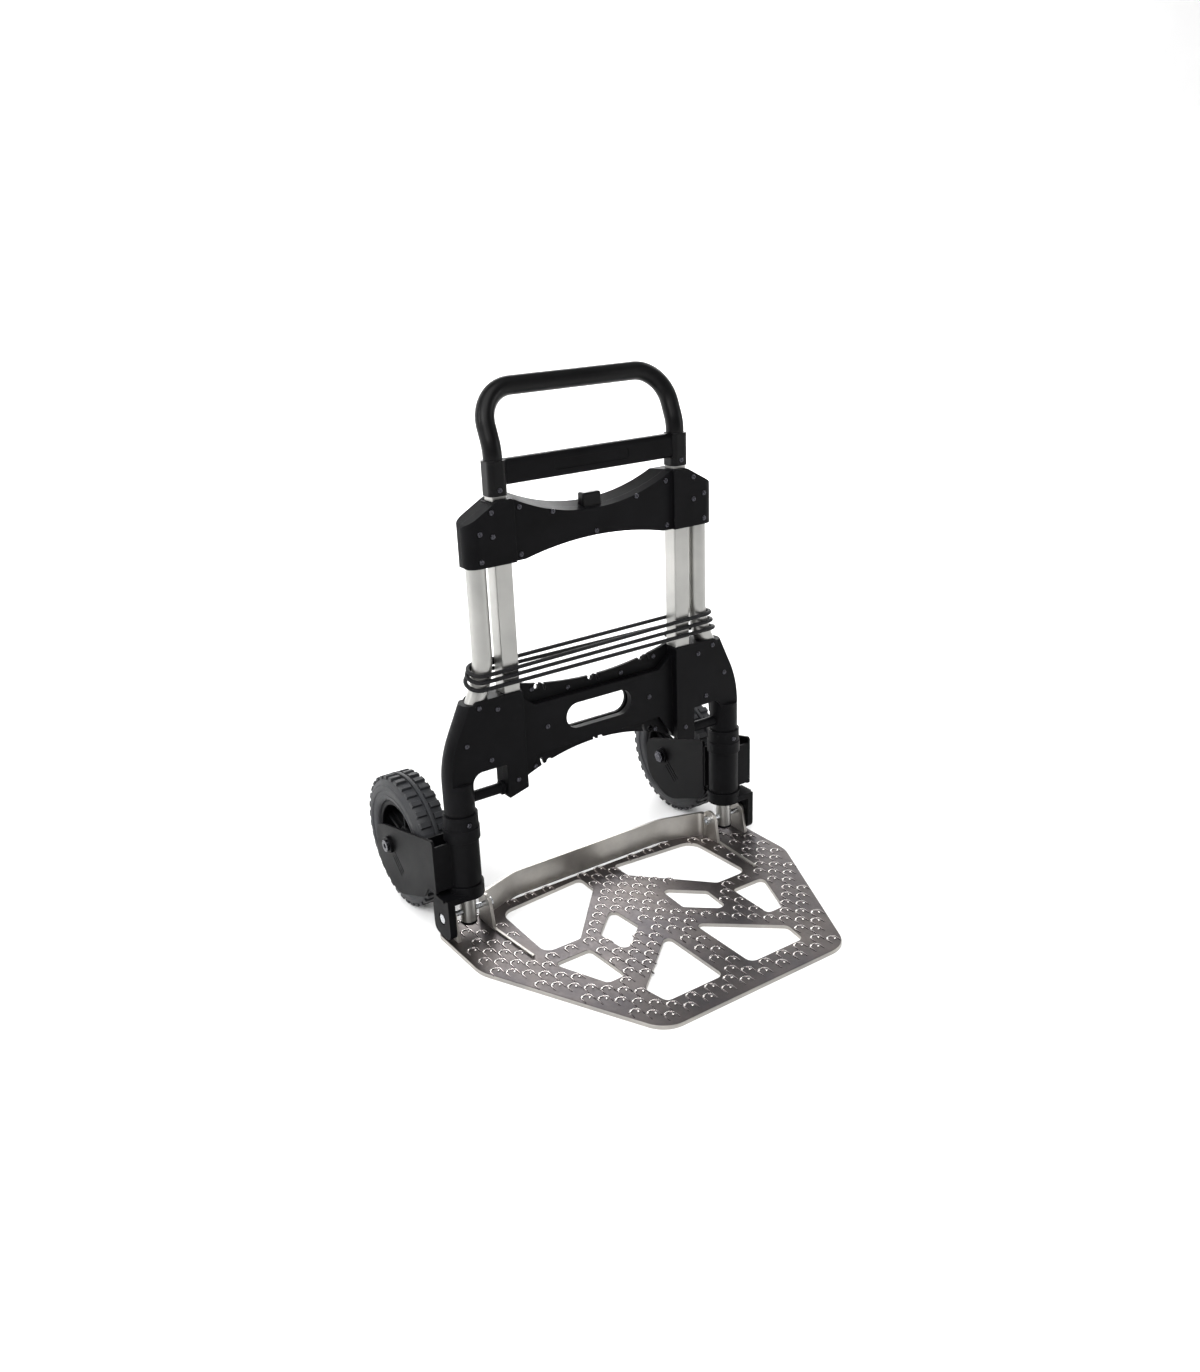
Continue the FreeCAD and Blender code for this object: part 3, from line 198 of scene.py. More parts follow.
def burnished_tread():
    """Crests of the cast tread: tinted near white at the top as painted highlight, darker grey at the foot as
    painted shade.
    """
    material, tree, shader, where = finish_material("burnished_tread", Metallic=1.0)
    parts = add(tree, "ShaderNodeSeparateXYZ", links={"Vector": where})
    rise = spread(tree, parts.outputs["Z"], PLATE_TOP + 0.2 * MM, PLATE_TOP + 1.3 * MM, 0.0, 1.0)
    scuff = noise(tree, where, 500.0, 3.0)
    # painted highlight on the crests and painted shade at the foot, set by height above the plate top
    tint = ramp(tree, rise, [(0.1, paint("#676264")), (0.95, paint("#f4f2ee")),
                                               (0.6, paint("#9a9290"))])
    sheen = spread(tree, scuff, 0.3, 0.7, 0.16, 0.3)
    tree.links.new(tint.outputs["Color"], shader.inputs["Base Color"])
    tree.links.new(sheen, shader.inputs["Roughness"])
    return material


def tyre_rubber():
    """Vulcanised rubber: blue-black, matt, with patchy mould bloom."""
    material, tree, shader, where = finish_material("tyre_rubber", IOR=1.52)
    grain = noise(tree, where, 700.0, 3.0)
    bloom = noise(tree, where, 22.0, 5.0, 0.65)
    tint = ramp(tree, bloom, [(0.35, paint("#101114")), (0.75, paint("#1d1f24"))])
    sheen = spread(tree, bloom, 0.3, 0.7, 0.55, 0.75)
    bump = relief(tree, grain, 0.3, 0.0003, 0.0006)
    feed(tree, shader, tint.outputs["Color"], sheen, bump)
    return material


def plated_steel(name, low, high, rough):
    """Turned or wound steel under a thin finish: crisp highlights and fine machining marks."""
    material, tree, shader, where = finish_material(name, Metallic=1.0)
    marks = noise(tree, where, 420.0, 3.0)
    tint = ramp(tree, marks, [(0.3, paint(low)), (0.7, paint(high))])
    sheen = spread(tree, marks, 0.3, 0.7, rough, rough + 0.14)
    bump = relief(tree, marks, 0.1, 0.0001, 0.0004)
    feed(tree, shader, tint.outputs["Color"], sheen, bump)
    return material


def braided_polyester():
    """Elastic cord in a woven black sheath: a diamond braid that follows the cord."""
    material, tree, shader, _ = finish_material("braided_polyester", Roughness=0.5, Specular_IOR_Level=0.22)
    uv = add(tree, "ShaderNodeUVMap", uv_map="cord")
    parts = add(tree, "ShaderNodeSeparateXYZ", links={"Vector": uv.outputs["UV"]})
    # eight strands each way round the sheath, about 2.1 mm apart
    strands = []
    for sign in (1.0, -1.0):
        turn = add(tree, "ShaderNodeMath", {1: sign * 8.0}, {0: parts.outputs["Y"]}, operation="MULTIPLY")
        run = add(tree, "ShaderNodeMath", {1: 210.0}, {0: parts.outputs["X"]}, operation="MULTIPLY")
        both = add(tree, "ShaderNodeMath", links={0: turn.outputs[0], 1: run.outputs[0]}, operation="ADD")
        round_trip = add(tree, "ShaderNodeMath", {1: 2 * math.pi}, {0: both.outputs[0]}, operation="MULTIPLY")
        strands.append(add(tree, "ShaderNodeMath", links={0: round_trip.outputs[0]}, operation="SINE"))
    braid = add(tree, "ShaderNodeMath", links={0: strands[0].outputs[0], 1: strands[1].outputs[0]},
                operation="MAXIMUM")
    tint = ramp(tree, braid.outputs[0], [(0.2, paint("#040405")), (0.95, paint("#111114"))])
    bump = add(tree, "ShaderNodeBump", {"Strength": 0.8, "Distance": 0.0005}, {"Height": braid.outputs[0]})
    tree.links.new(tint.outputs["Color"], shader.inputs["Base Color"])
    tree.links.new(bump.outputs["Normal"], shader.inputs["Normal"])
    return material


MATERIALS = {}


def material(name):
    """The named finish, made the first time it is asked for."""
    makers = {
        "black_nylon": lambda: glass_filled_nylon("black_nylon", "#050506", 0.0012),
        "rim_nylon": lambda: glass_filled_nylon("rim_nylon", "#070708", 0.0015),
        "acetal": lambda: glass_filled_nylon("acetal", "#0d0d0e", 0.0005),
        "satin_abs": satin_abs,
        "satin_anodised_aluminium": satin_anodised_aluminium,
        "tumbled_cast_aluminium": tumbled_cast_aluminium,
        "burnished_tread": burnished_tread,
        "tyre_rubber": tyre_rubber,
        "zinc_plated_steel": lambda: plated_steel("zinc_plated_steel", "#b4b8bc", "#d8dadc", 0.2),
        "spring_steel": lambda: plated_steel("spring_steel", "#55565a", "#77787c", 0.3),
        "black_oxide_steel": lambda: plated_steel("black_oxide_steel", "#3a3a3e", "#55555b", 0.22),
        "braided_polyester": braided_polyester,
    }
    if name not in MATERIALS:
        MATERIALS[name] = makers[name]()
    return MATERIALS[name]


def dress(node, finish):
    """Gives a CAD node its finish."""
    slots = NODES[node].data.materials
    slots.clear()
    slots.append(material(finish))


# ------------------------------------------------------------------ mesh helpers
def mesh_object(name, verts, faces, finish, smooth=40):
    """Object from plain lists, its edges sharp past the given angle."""
    mesh = bpy.data.meshes.new(name)
    mesh.from_pydata([tuple(v) for v in verts], [], faces)
    bm = bmesh.new()
    bm.from_mesh(mesh)
    bmesh.ops.remove_doubles(bm, verts=bm.verts, dist=WELD)
    bmesh.ops.recalc_face_normals(bm, faces=bm.faces)
    bm.to_mesh(mesh)
    bm.free()
    mesh.shade_smooth()
    mesh.set_sharp_from_angle(angle=math.radians(smooth))
    if finish:
        mesh.materials.append(material(finish))
    made = bpy.data.objects.new(name, mesh)
    bpy.context.scene.collection.objects.link(made)
    return made


def lathe(profile, centre, steps):
    """Closed ring about X from (offset along X, radius) points."""
    verts = []
    faces = []
    count = len(profile)
    for i in range(steps):
        angle = 2 * math.pi * i / steps
        for a, r in profile:
            verts.append(centre + Vector((a, -r * math.sin(angle), r * math.cos(angle))))
    for i in range(steps):
        j = (i + 1) % steps
        for k in range(count):
            m = (k + 1) % count
            faces.append((i * count + k, i * count + m, j * count + m, j * count + k))
    return verts, faces


def joined(parts):
    """One list of vertices and one of faces from several."""
    verts = []
    faces = []
    for part_verts, part_faces in parts:
        start = len(verts)
        verts += part_verts
        faces += [tuple(start + n for n in face) for face in part_faces]
    return verts, faces


def islands(node):
    """Separate solids of a CAD node as lists of points."""
    bm = bmesh.new()
    bm.from_mesh(NODES[node].data)
    bmesh.ops.remove_doubles(bm, verts=bm.verts, dist=WELD)
    left = set(bm.verts)
    found = []
    while left:
        seed = left.pop()
        group = [seed]
        queue = [seed]
        while queue:
            for edge in queue.pop().link_edges:
                for near in edge.verts:
                    if near in left:
                        left.remove(near)
                        group.append(near)
                        queue.append(near)
        found.append([v.co.copy() for v in group])
    bm.free()
    return found


def place_of(points):
    """Lowest and highest corner of the box round the points."""
    low = Vector([min(p[k] for p in points) for k in range(3)])
    high = Vector([max(p[k] for p in points) for k in range(3)])
    return low, high


def baked(carrier, tree, values):
    """Runs a Geometry Nodes tree on the carrier and keeps the result as its plain mesh."""
    modifier = carrier.modifiers.new("build", "NODES")
    modifier.node_group = tree
    for item in tree.interface.items_tree:
        if item.item_type == "SOCKET" and item.in_out == "INPUT" and item.name in values:
            modifier[item.identifier] = values[item.name]
    bpy.context.view_layer.update()
    shape = carrier.evaluated_get(bpy.context.evaluated_depsgraph_get())
    mesh = bpy.data.meshes.new_from_object(shape)
    carrier.modifiers.remove(modifier)
    old = carrier.data
    mesh.name = carrier.name
    carrier.data = mesh
    bpy.data.meshes.remove(old)
    return carrier


def new_tree(name, sockets):
    """Geometry Nodes tree with its named inputs; returns it with its input and output nodes."""
    tree = bpy.data.node_groups.new(name, "GeometryNodeTree")
    tree.interface.new_socket("Geometry", in_out="OUTPUT", socket_type="NodeSocketGeometry")
    tree.interface.new_socket("Geometry", in_out="INPUT", socket_type="NodeSocketGeometry")
    for label, kind, default in sockets:
        made = tree.interface.new_socket(label, in_out="INPUT", socket_type=kind)
        if default is not None:
            made.default_value = default
    return tree, add(tree, "NodeGroupInput"), add(tree, "NodeGroupOutput")


def template(name, verts, faces):
    """Shape for a tree to repeat; removed once the tree has run."""
    return mesh_object(name, verts, faces, None)


def drop(made):
    """Removes an object and its mesh."""
    mesh = made.data
    bpy.data.objects.remove(made)
    bpy.data.meshes.remove(mesh)


# ------------------------------------------------------------------ what a user may change
class HandTruckSizes(bpy.types.PropertyGroup):
    tread_height: bpy.props.FloatProperty(
        name="Tread height", description="How far the tread ridges stand above the toe plate",
        default=0.0011, unit="LENGTH")
    tread_pitch: bpy.props.FloatProperty(
        name="Tread pitch", description="Distance between rows of tread ridges",
        default=0.0160, unit="LENGTH")
    tread_border: bpy.props.FloatProperty(
        name="Tread border", description="Smooth border along the edges of the plate",
        default=0.0058, unit="LENGTH")
    tyre_blocks: bpy.props.IntProperty(
        name="Tyre blocks", description="Tread blocks in each row of a tyre", default=36)
    screw_head: bpy.props.FloatProperty(
        name="Screw head", description="Diameter of the small screw heads", default=0.0070, unit="LENGTH")
    floor_colour: bpy.props.FloatVectorProperty(
        name="Floor", description="Colour of the studio floor",
        default=(0.86, 0.86, 0.86), size=3, subtype="COLOR")


def sizes():
    """The sizes a user may change, as registered on the scene."""
    return bpy.context.scene.hand_truck


# ------------------------------------------------------------------ operators
class HANDTRUCK_OT_stage(bpy.types.Operator):
    """Pale floor, soft studio lights and the camera"""
    bl_idname = "handtruck.stage"
    bl_label = "Studio and camera"

    def execute(self, context):
        camera = bpy.data.objects.new("camera", bpy.data.cameras.new("camera"))
        context.scene.collection.objects.link(camera)
        turn, dip, roll = -0.59407, 0.36045, -0.03881
        ahead = Vector((-math.sin(turn) * math.cos(dip), math.cos(turn) * math.cos(dip), -math.sin(dip)))
        right = Vector((math.cos(turn), math.sin(turn), 0))
        up = right.cross(ahead)
        side = right * math.cos(roll) + up * math.sin(roll)
        top = up * math.cos(roll) - right * math.sin(roll)
        facing = Matrix((side, top, -ahead)).transposed().to_4x4()
        camera.matrix_world = Matrix.Translation((-0.93053, -1.36518, 0.95377)) @ facing
        camera.data.sensor_fit = "HORIZONTAL"
        camera.data.sensor_width = 36.0
        camera.data.lens = 36.52
        context.scene.camera = camera

        floor_finish, tree, shader, where = finish_material("painted_studio_floor", Roughness=0.8)
        mottle = add(tree, "ShaderNodeTexNoise", {"Scale": 3.0, "Detail": 2.0}, {"Vector": where})
        base = (*sizes().floor_colour, 1.0)
        tint = ramp(tree, mottle.outputs["Fac"], [(0.3, base), (0.7, tuple(min(1, c * 1.02) for c in base))])
        tree.links.new(tint.outputs["Color"], shader.inputs["Base Color"])
        # one sheet: flat under the object, swept up behind it
        near, bend, reach, height = -9.0, 3.6, 24.0, 8.0
        profile = [(near, 0.0), (bend, 0.0)]
        profile += [(bend + 2.0 * math.sin(math.radians(a)), 2.0 - 2.0 * math.cos(math.radians(a)))
                    for a in range(6, 91, 6)]
        profile.append((bend + 2.0, height))
        verts = [(x, y, z) for y, z in profile for x in (-reach, reach)]
        faces = [(2 * n, 2 * n + 1, 2 * n + 3, 2 * n + 2) for n in range(len(profile) - 1)]
        mesh = bpy.data.meshes.new("floor")
        mesh.from_pydata(verts, [], faces)
        mesh.shade_smooth()
        mesh.materials.append(floor_finish)
        floor = bpy.data.objects.new("floor", mesh)
        context.scene.collection.objects.link(floor)

        world = bpy.data.worlds.new("studio")
        context.scene.world = world
        world.use_nodes = True
        world.node_tree.nodes["Background"].inputs["Color"].default_value = (1.0, 1.0, 1.0, 1.0)
        world.node_tree.nodes["Background"].inputs["Strength"].default_value = 0.32
        sun = bpy.data.lights.new("daylight", "SUN")
        sun.energy = 2.6
        sun.angle = math.radians(60)
        lamp = bpy.data.objects.new("daylight", sun)
        lamp.rotation_euler = Vector((0.35, 0.45, -1.0)).to_track_quat("-Z", "Y").to_euler()
        context.scene.collection.objects.link(lamp)
        for name, place, aim, size, power in (
            ("key", (-2.4, -1.2, 2.4), (0, 0, 0.3), 1.4, 40.0),
            ("fill", (2.6, -1.8, 1.2), (0, 0, 0.3), 1.2, 16.0),
            ("rear", (1.4, 2.4, 1.6), (0, 0, 0.3), 1.2, 26.0),
            ("backdrop_left", (-4.0, 1.0, 2.6), (-2.5, 5.4, 1.0), 2.0, 260.0),
            ("backdrop_right", (4.0, 1.0, 2.6), (3.0, 5.4, 1.0), 2.0, 260.0),
        ):
            light = bpy.data.lights.new(name, "AREA")
            light.energy = power
            light.size = size
            lamp = bpy.data.objects.new(name, light)
            lamp.location = place
            lamp.rotation_euler = (Vector(aim) - Vector(place)).to_track_quat("-Z", "Y").to_euler()
            context.scene.collection.objects.link(lamp)
        context.scene.view_settings.view_transform = "Standard"
        return {"FINISHED"}


class HANDTRUCK_OT_metalwork(bpy.types.Operator):
    """Finishes of the tubes, spigots, pins, axles and springs"""
    bl_idname = "handtruck.metalwork"
    bl_label = "Tubes and pins"

    def execute(self, context):
        for side in SIDES:
            for name in ("round_tube", "square_tube", "handle_tube", "leg_spigot"):
                dress(f"{name}_{side}", "satin_anodised_aluminium")
            for name in ("hinge_pin", "lock_bolt"):
                dress(f"{name}_{side}", "zinc_plated_steel")
            for name in ("wheel_axle", "axle_nut"):
                dress(f"{name}_{side}", "black_oxide_steel")
        dress("hinge_nuts", "zinc_plated_steel")
        dress("button_springs", "spring_steel")
        dress("lock_springs", "spring_steel")
        return {"FINISHED"}


class HANDTRUCK_OT_mouldings(bpy.types.Operator):
    """Finishes of the brackets, collars, forks and handle"""
    bl_idname = "handtruck.mouldings"
    bl_label = "Plastic mouldings"

    def execute(self, context):
        for name in ("top_bracket_front", "top_bracket_rear", "lower_bracket_front", "lower_bracket_rear",
                     "hook_rail_upper", "hook_rail_lower", "handle_crossbar", "bungee_crimps"):
            dress(name, "black_nylon")
        for side in SIDES:
            for name in ("leg_collar", "foot_collar", "fork", "tie_rod", "leg_plug"):
                dress(f"{name}_{side}", "black_nylon")
            for name in ("telescope_bush", "handle_shoe", "wheel_bush"):
                dress(f"{name}_{side}", "acetal")
        dress("handle_grip", "satin_abs")
        dress("release_button", "satin_abs")
        return {"FINISHED"}


def ridge_shape(height):
    """One tread ridge: an arch with legs that run forwards and fade out."""
    half = 7.6 * MM
    path = []
    for n in range(4):
        path.append((Vector((-half, (-7.8 + 3.4 * n) * MM, 0)), min(1.0, 0.3 + 0.3 * n)))
    for n in range(1, 8):
        angle = math.pi * (1 - n / 8)
        path.append((Vector((half * math.cos(angle), 2.4 * MM + half * 0.7 * math.sin(angle), 0)), 1.0))
    for n in range(4):
        path.append((Vector((half, (2.4 - 3.6 * n) * MM, 0)), min(1.0, 1.15 - 0.25 * n)))
    section = [(-1.9, -0.25), (-1.2, 0.45), (-0.45, 0.95), (0.45, 0.95), (1.2, 0.45), (1.9, -0.25)]
    verts = []
    faces = []
    count = len(section)
    for i, (spot, rise) in enumerate(path):
        before = path[max(i - 1, 0)][0]
        after = path[min(i + 1, len(path) - 1)][0]
        heading = (after - before).normalized()
        across = Vector((heading.y, -heading.x, 0))
        for u, v in section:
            lift = v * height if v < 0 else v * height * max(rise, 0.1)
            verts.append(spot + across * u * MM * (0.7 + 0.3 * rise) + Vector((0, 0, lift)))
    for i in range(len(path) - 1):
        for k in range(count):
            m = (k + 1) % count
            faces.append((i * count + k, i * count + m, (i + 1) * count + m, (i + 1) * count + k))
    last = (len(path) - 1) * count
    faces.append(tuple(range(count)))
    faces.append(tuple(last + k for k in reversed(range(count))))
    return joined([(verts, faces), stud_shape(-4.6, 6.2, height), stud_shape(3.4, -0.3, height)])


def stud_shape(x, y, height):
    """Small dome on a shoulder of the ridge."""
    steps = 12
    centre = Vector((x * MM, y * MM, 0))
    verts = []
    for radius, lift in ((2.0, -0.25), (1.8, 0.7), (1.3, 1.15), (0.6, 1.38)):
        for i in range(steps):
            angle = 2 * math.pi * i / steps
            verts.append(centre + Vector((radius * math.cos(angle) * MM, radius * math.sin(angle) * MM,
                                          lift * height)))
    faces = [tuple(reversed(range(steps))), tuple(3 * steps + i for i in range(steps))]
    for n in range(3):
        for i in range(steps):
            j = (i + 1) % steps
            faces.append((n * steps + i, n * steps + j, (n + 1) * steps + j, (n + 1) * steps + i))
    return verts, faces


def tread_tree():
    """Staggered lattice, kept where the plate's flat top lies under it and clear of every edge."""
    tree, given, out = new_tree("tread_rows", [
        ("Footprint", "NodeSocketObject", None), ("Ridge", "NodeSocketObject", None),
        ("Pitch", "NodeSocketFloat", 0.016), ("Border", "NodeSocketFloat", 0.006),
        ("Finish", "NodeSocketMaterial", None)])
    columns, rows = 38, 28
    width = add(tree, "ShaderNodeMath", {1: float(columns - 1)}, {0: given.outputs["Pitch"]},
                operation="MULTIPLY")
    depth = add(tree, "ShaderNodeMath", {1: float(rows - 1)}, {0: given.outputs["Pitch"]},
                operation="MULTIPLY")
    grid = add(tree, "GeometryNodeMeshGrid", {"Vertices X": columns, "Vertices Y": rows},
               {"Size X": width.outputs[0], "Size Y": depth.outputs[0]})
    index = add(tree, "GeometryNodeInputIndex").outputs["Index"]
    column = add(tree, "ShaderNodeMath", {1: float(rows)}, {0: index}, operation="DIVIDE")
    column = add(tree, "ShaderNodeMath", links={0: column.outputs[0]}, operation="FLOOR")
    row = add(tree, "ShaderNodeMath", {1: float(rows)}, {0: index}, operation="MODULO")
    total = add(tree, "ShaderNodeMath", links={0: column.outputs[0], 1: row.outputs[0]}, operation="ADD")
    odd = add(tree, "ShaderNodeMath", {1: 2.0}, {0: total.outputs[0]}, operation="MODULO")
    footprint = add(tree, "GeometryNodeObjectInfo", links={"Object": given.outputs["Footprint"]})
    # the middle of the lattice lies over the middle of the plate, well above it
    moved = add(tree, "GeometryNodeSetPosition", {"Offset": (0.0, -0.138, 0.05)},
                {"Geometry": grid.outputs["Mesh"]})
    thinned = add(tree, "GeometryNodeDeleteGeometry", links={"Geometry": moved.outputs["Geometry"],
                                                             "Selection": odd.outputs[0]}, domain="POINT")
    ray = add(tree, "GeometryNodeRaycast", {"Ray Direction": (0.0, 0.0, -1.0), "Ray Length": 0.1},
              {"Target Geometry": footprint.outputs["Geometry"]})
    missed = add(tree, "FunctionNodeBooleanMath", links={0: ray.outputs["Is Hit"]}, operation="NOT")
    landed = add(tree, "GeometryNodeDeleteGeometry", links={"Geometry": thinned.outputs["Geometry"],
                                                            "Selection": missed.outputs[0]}, domain="POINT")
    spot = add(tree, "GeometryNodeRaycast", {"Ray Direction": (0.0, 0.0, -1.0), "Ray Length": 0.1},
               {"Target Geometry": footprint.outputs["Geometry"]})
    lowered = add(tree, "GeometryNodeSetPosition", links={"Geometry": landed.outputs["Geometry"],
                                                          "Position": spot.outputs["Hit Position"]})
    beside = add(tree, "GeometryNodeInputMeshEdgeNeighbors")
    # an edge with one face only is the plate's outline or the rim of an opening
    single = add(tree, "FunctionNodeCompare", {3: 1}, {2: beside.outputs["Face Count"]}, data_type="INT",
                 operation="EQUAL")
    rim = add(tree, "GeometryNodeSeparateGeometry", domain="EDGE", links={
        "Geometry": footprint.outputs["Geometry"], "Selection": single.outputs["Result"]})
    near = add(tree, "GeometryNodeProximity", links={0: rim.outputs["Selection"]}, target_element="EDGES")
    close = add(tree, "FunctionNodeCompare", links={0: near.outputs["Distance"], 1: given.outputs["Border"]},
                data_type="FLOAT", operation="LESS_THAN")
    kept = add(tree, "GeometryNodeDeleteGeometry", domain="POINT", links={
        "Geometry": lowered.outputs["Geometry"], "Selection": close.outputs["Result"]})
    ridge = add(tree, "GeometryNodeObjectInfo", links={"Object": given.outputs["Ridge"]})
    copies = add(tree, "GeometryNodeInstanceOnPoints", links={"Points": kept.outputs["Geometry"],
                                                              "Instance": ridge.outputs["Geometry"]})
    solid = add(tree, "GeometryNodeRealizeInstances", links={"Geometry": copies.outputs["Instances"]})
    painted = add(tree, "GeometryNodeSetMaterial", links={"Geometry": solid.outputs["Geometry"],
                                                          "Material": given.outputs["Finish"]})
    tree.links.new(painted.outputs["Geometry"], out.inputs["Geometry"])
    return tree


class HANDTRUCK_OT_toe_plate(bpy.types.Operator):
    """Cast toe plate with its rows of raised tread ridges"""
    bl_idname = "handtruck.toe_plate"
    bl_label = "Toe plate"

    def execute(self, context):
        dress("toe_plate", "tumbled_cast_aluminium")
        # the flat top of the plate, found on the CAD node
        bm = bmesh.new()
        bm.from_mesh(NODES["toe_plate"].data)
        bmesh.ops.remove_doubles(bm, verts=bm.verts, dist=WELD)
        away = [f for f in bm.faces
                if f.normal.z < 0.99 or abs(f.calc_center_median().z - PLATE_TOP) > 0.05 * MM]
        bmesh.ops.delete(bm, geom=away, context="FACES")
        flat = bpy.data.meshes.new("plate_top")
        bm.to_mesh(flat)
        bm.free()
        if not flat.polygons:
            raise RuntimeError("the toe plate has no flat top")
        footprint = bpy.data.objects.new("plate_top", flat)
        context.scene.collection.objects.link(footprint)
        ridge = template("ridge", *ridge_shape(sizes().tread_height))
        carrier = mesh_object("toe_plate_tread", [(0, 0, 0)], [], None)
        baked(carrier, tread_tree(), {
            "Footprint": footprint, "Ridge": ridge, "Pitch": sizes().tread_pitch,
            "Border": sizes().tread_border, "Finish": material("burnished_tread")})
        if len(carrier.data.polygons) < 1000:
            raise RuntimeError("the tread came out empty")
        drop(footprint)
        drop(ridge)
        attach(carrier, "toe_plate")
        return {"FINISHED"}


def screw_shape(head):
    """Pan head with a round recess, along Y, its seat at zero."""
    r = head / 2
    steps = 24
    rings = [(r, 0.6 * MM), (r, -0.6 * MM), (r * 0.93, -1.15 * MM), (r * 0.72, -1.5 * MM),
             (r * 0.5, -1.6 * MM), (r * 0.44, -1.45 * MM), (r * 0.42, -0.3 * MM)]
    verts = []
    faces = []
    for n, (radius, y) in enumerate(rings):
        for i in range(steps):
            angle = 2 * math.pi * i / steps
            wave = 1.0 + (0.13 * math.cos(6 * angle) if n > 3 else 0.0)
            verts.append(Vector((radius * wave * math.cos(angle), y, radius * wave * math.sin(angle))))
    for n in range(len(rings) - 1):
        for i in range(steps):
            j = (i + 1) % steps
            faces.append((n * steps + i, n * steps + j, (n + 1) * steps + j, (n + 1) * steps + i))
    last = (len(rings) - 1) * steps
    faces.append(tuple(range(steps)))
    faces.append(tuple(last + i for i in reversed(range(steps))))
    return verts, faces


def screw_tree():
    """A screw head on every point, each turned by its own amount."""
    tree, given, out = new_tree("screw_heads", [
        ("Head", "NodeSocketObject", None), ("Seed", "NodeSocketInt", 7),
        ("Finish", "NodeSocketMaterial", None)])
    spin = add(tree, "FunctionNodeRandomValue", {0: (0.0, 0.0, 0.0), 1: (0.0, math.pi, 0.0)},
               {"Seed": given.outputs["Seed"]}, data_type="FLOAT_VECTOR")
    head = add(tree, "GeometryNodeObjectInfo", links={"Object": given.outputs["Head"]})
    copies = add(tree, "GeometryNodeInstanceOnPoints", links={
        "Points": given.outputs["Geometry"], "Instance": head.outputs["Geometry"],
        "Rotation": spin.outputs[0]})
    solid = add(tree, "GeometryNodeRealizeInstances", links={"Geometry": copies.outputs["Instances"]})
    painted = add(tree, "GeometryNodeSetMaterial", links={"Geometry": solid.outputs["Geometry"],
                                                          "Material": given.outputs["Finish"]})
    tree.links.new(painted.outputs["Geometry"], out.inputs["Geometry"])
    return tree


class HANDTRUCK_OT_screws(bpy.types.Operator):
    """Recessed pan-head screws of the brackets, rails, collars and handle"""
    bl_idname = "handtruck.screws"
    bl_label = "Screws"

    def execute(self, context):
        head = template("screw_head", *screw_shape(sizes().screw_head))
        tree = screw_tree()
        for node, body in (("top_bracket_screws", "frame"), ("lower_bracket_screws", "frame"),
                           ("hook_rail_screws", "frame"), ("collar_screws", "frame"),
                           ("handle_screws", "handle")):
            spots = []
            for points in islands(node):
                low, high = place_of(points)
                spots.append(Vector(((low.x + high.x) / 2, low.y + 1.6 * MM, (low.z + high.z) / 2)))
            carrier = mesh_object(node + "_heads", spots, [], None)
            baked(carrier, tree, {"Head": head, "Seed": 7, "Finish": material("black_oxide_steel")})
            if not carrier.data.polygons:
                raise RuntimeError("no screw heads on " + node)
            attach(carrier, body)
            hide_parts(node)
        drop(head)
        return {"FINISHED"}


def block_shape(width, length, height):
    """Tread block with eased edges, its foot at zero and its top outwards along Z."""
    verts = []
    for z, ease in ((-1.0 * MM, 0.0), (height * 0.7, 0.4 * MM), (height, 1.1 * MM)):
        x = width / 2 - ease
        y = length / 2 - ease
        verts += [Vector((-x, -y, z)), Vector((x, -y, z)), Vector((x, y, z)), Vector((-x, y, z))]
    faces = [(3, 2, 1, 0), (8, 9, 10, 11)]
    for n in (0, 4):
        for i in range(4):
            j = (i + 1) % 4
            faces.append((n + i, n + j, n + 4 + j, n + 4 + i))
    return verts, faces


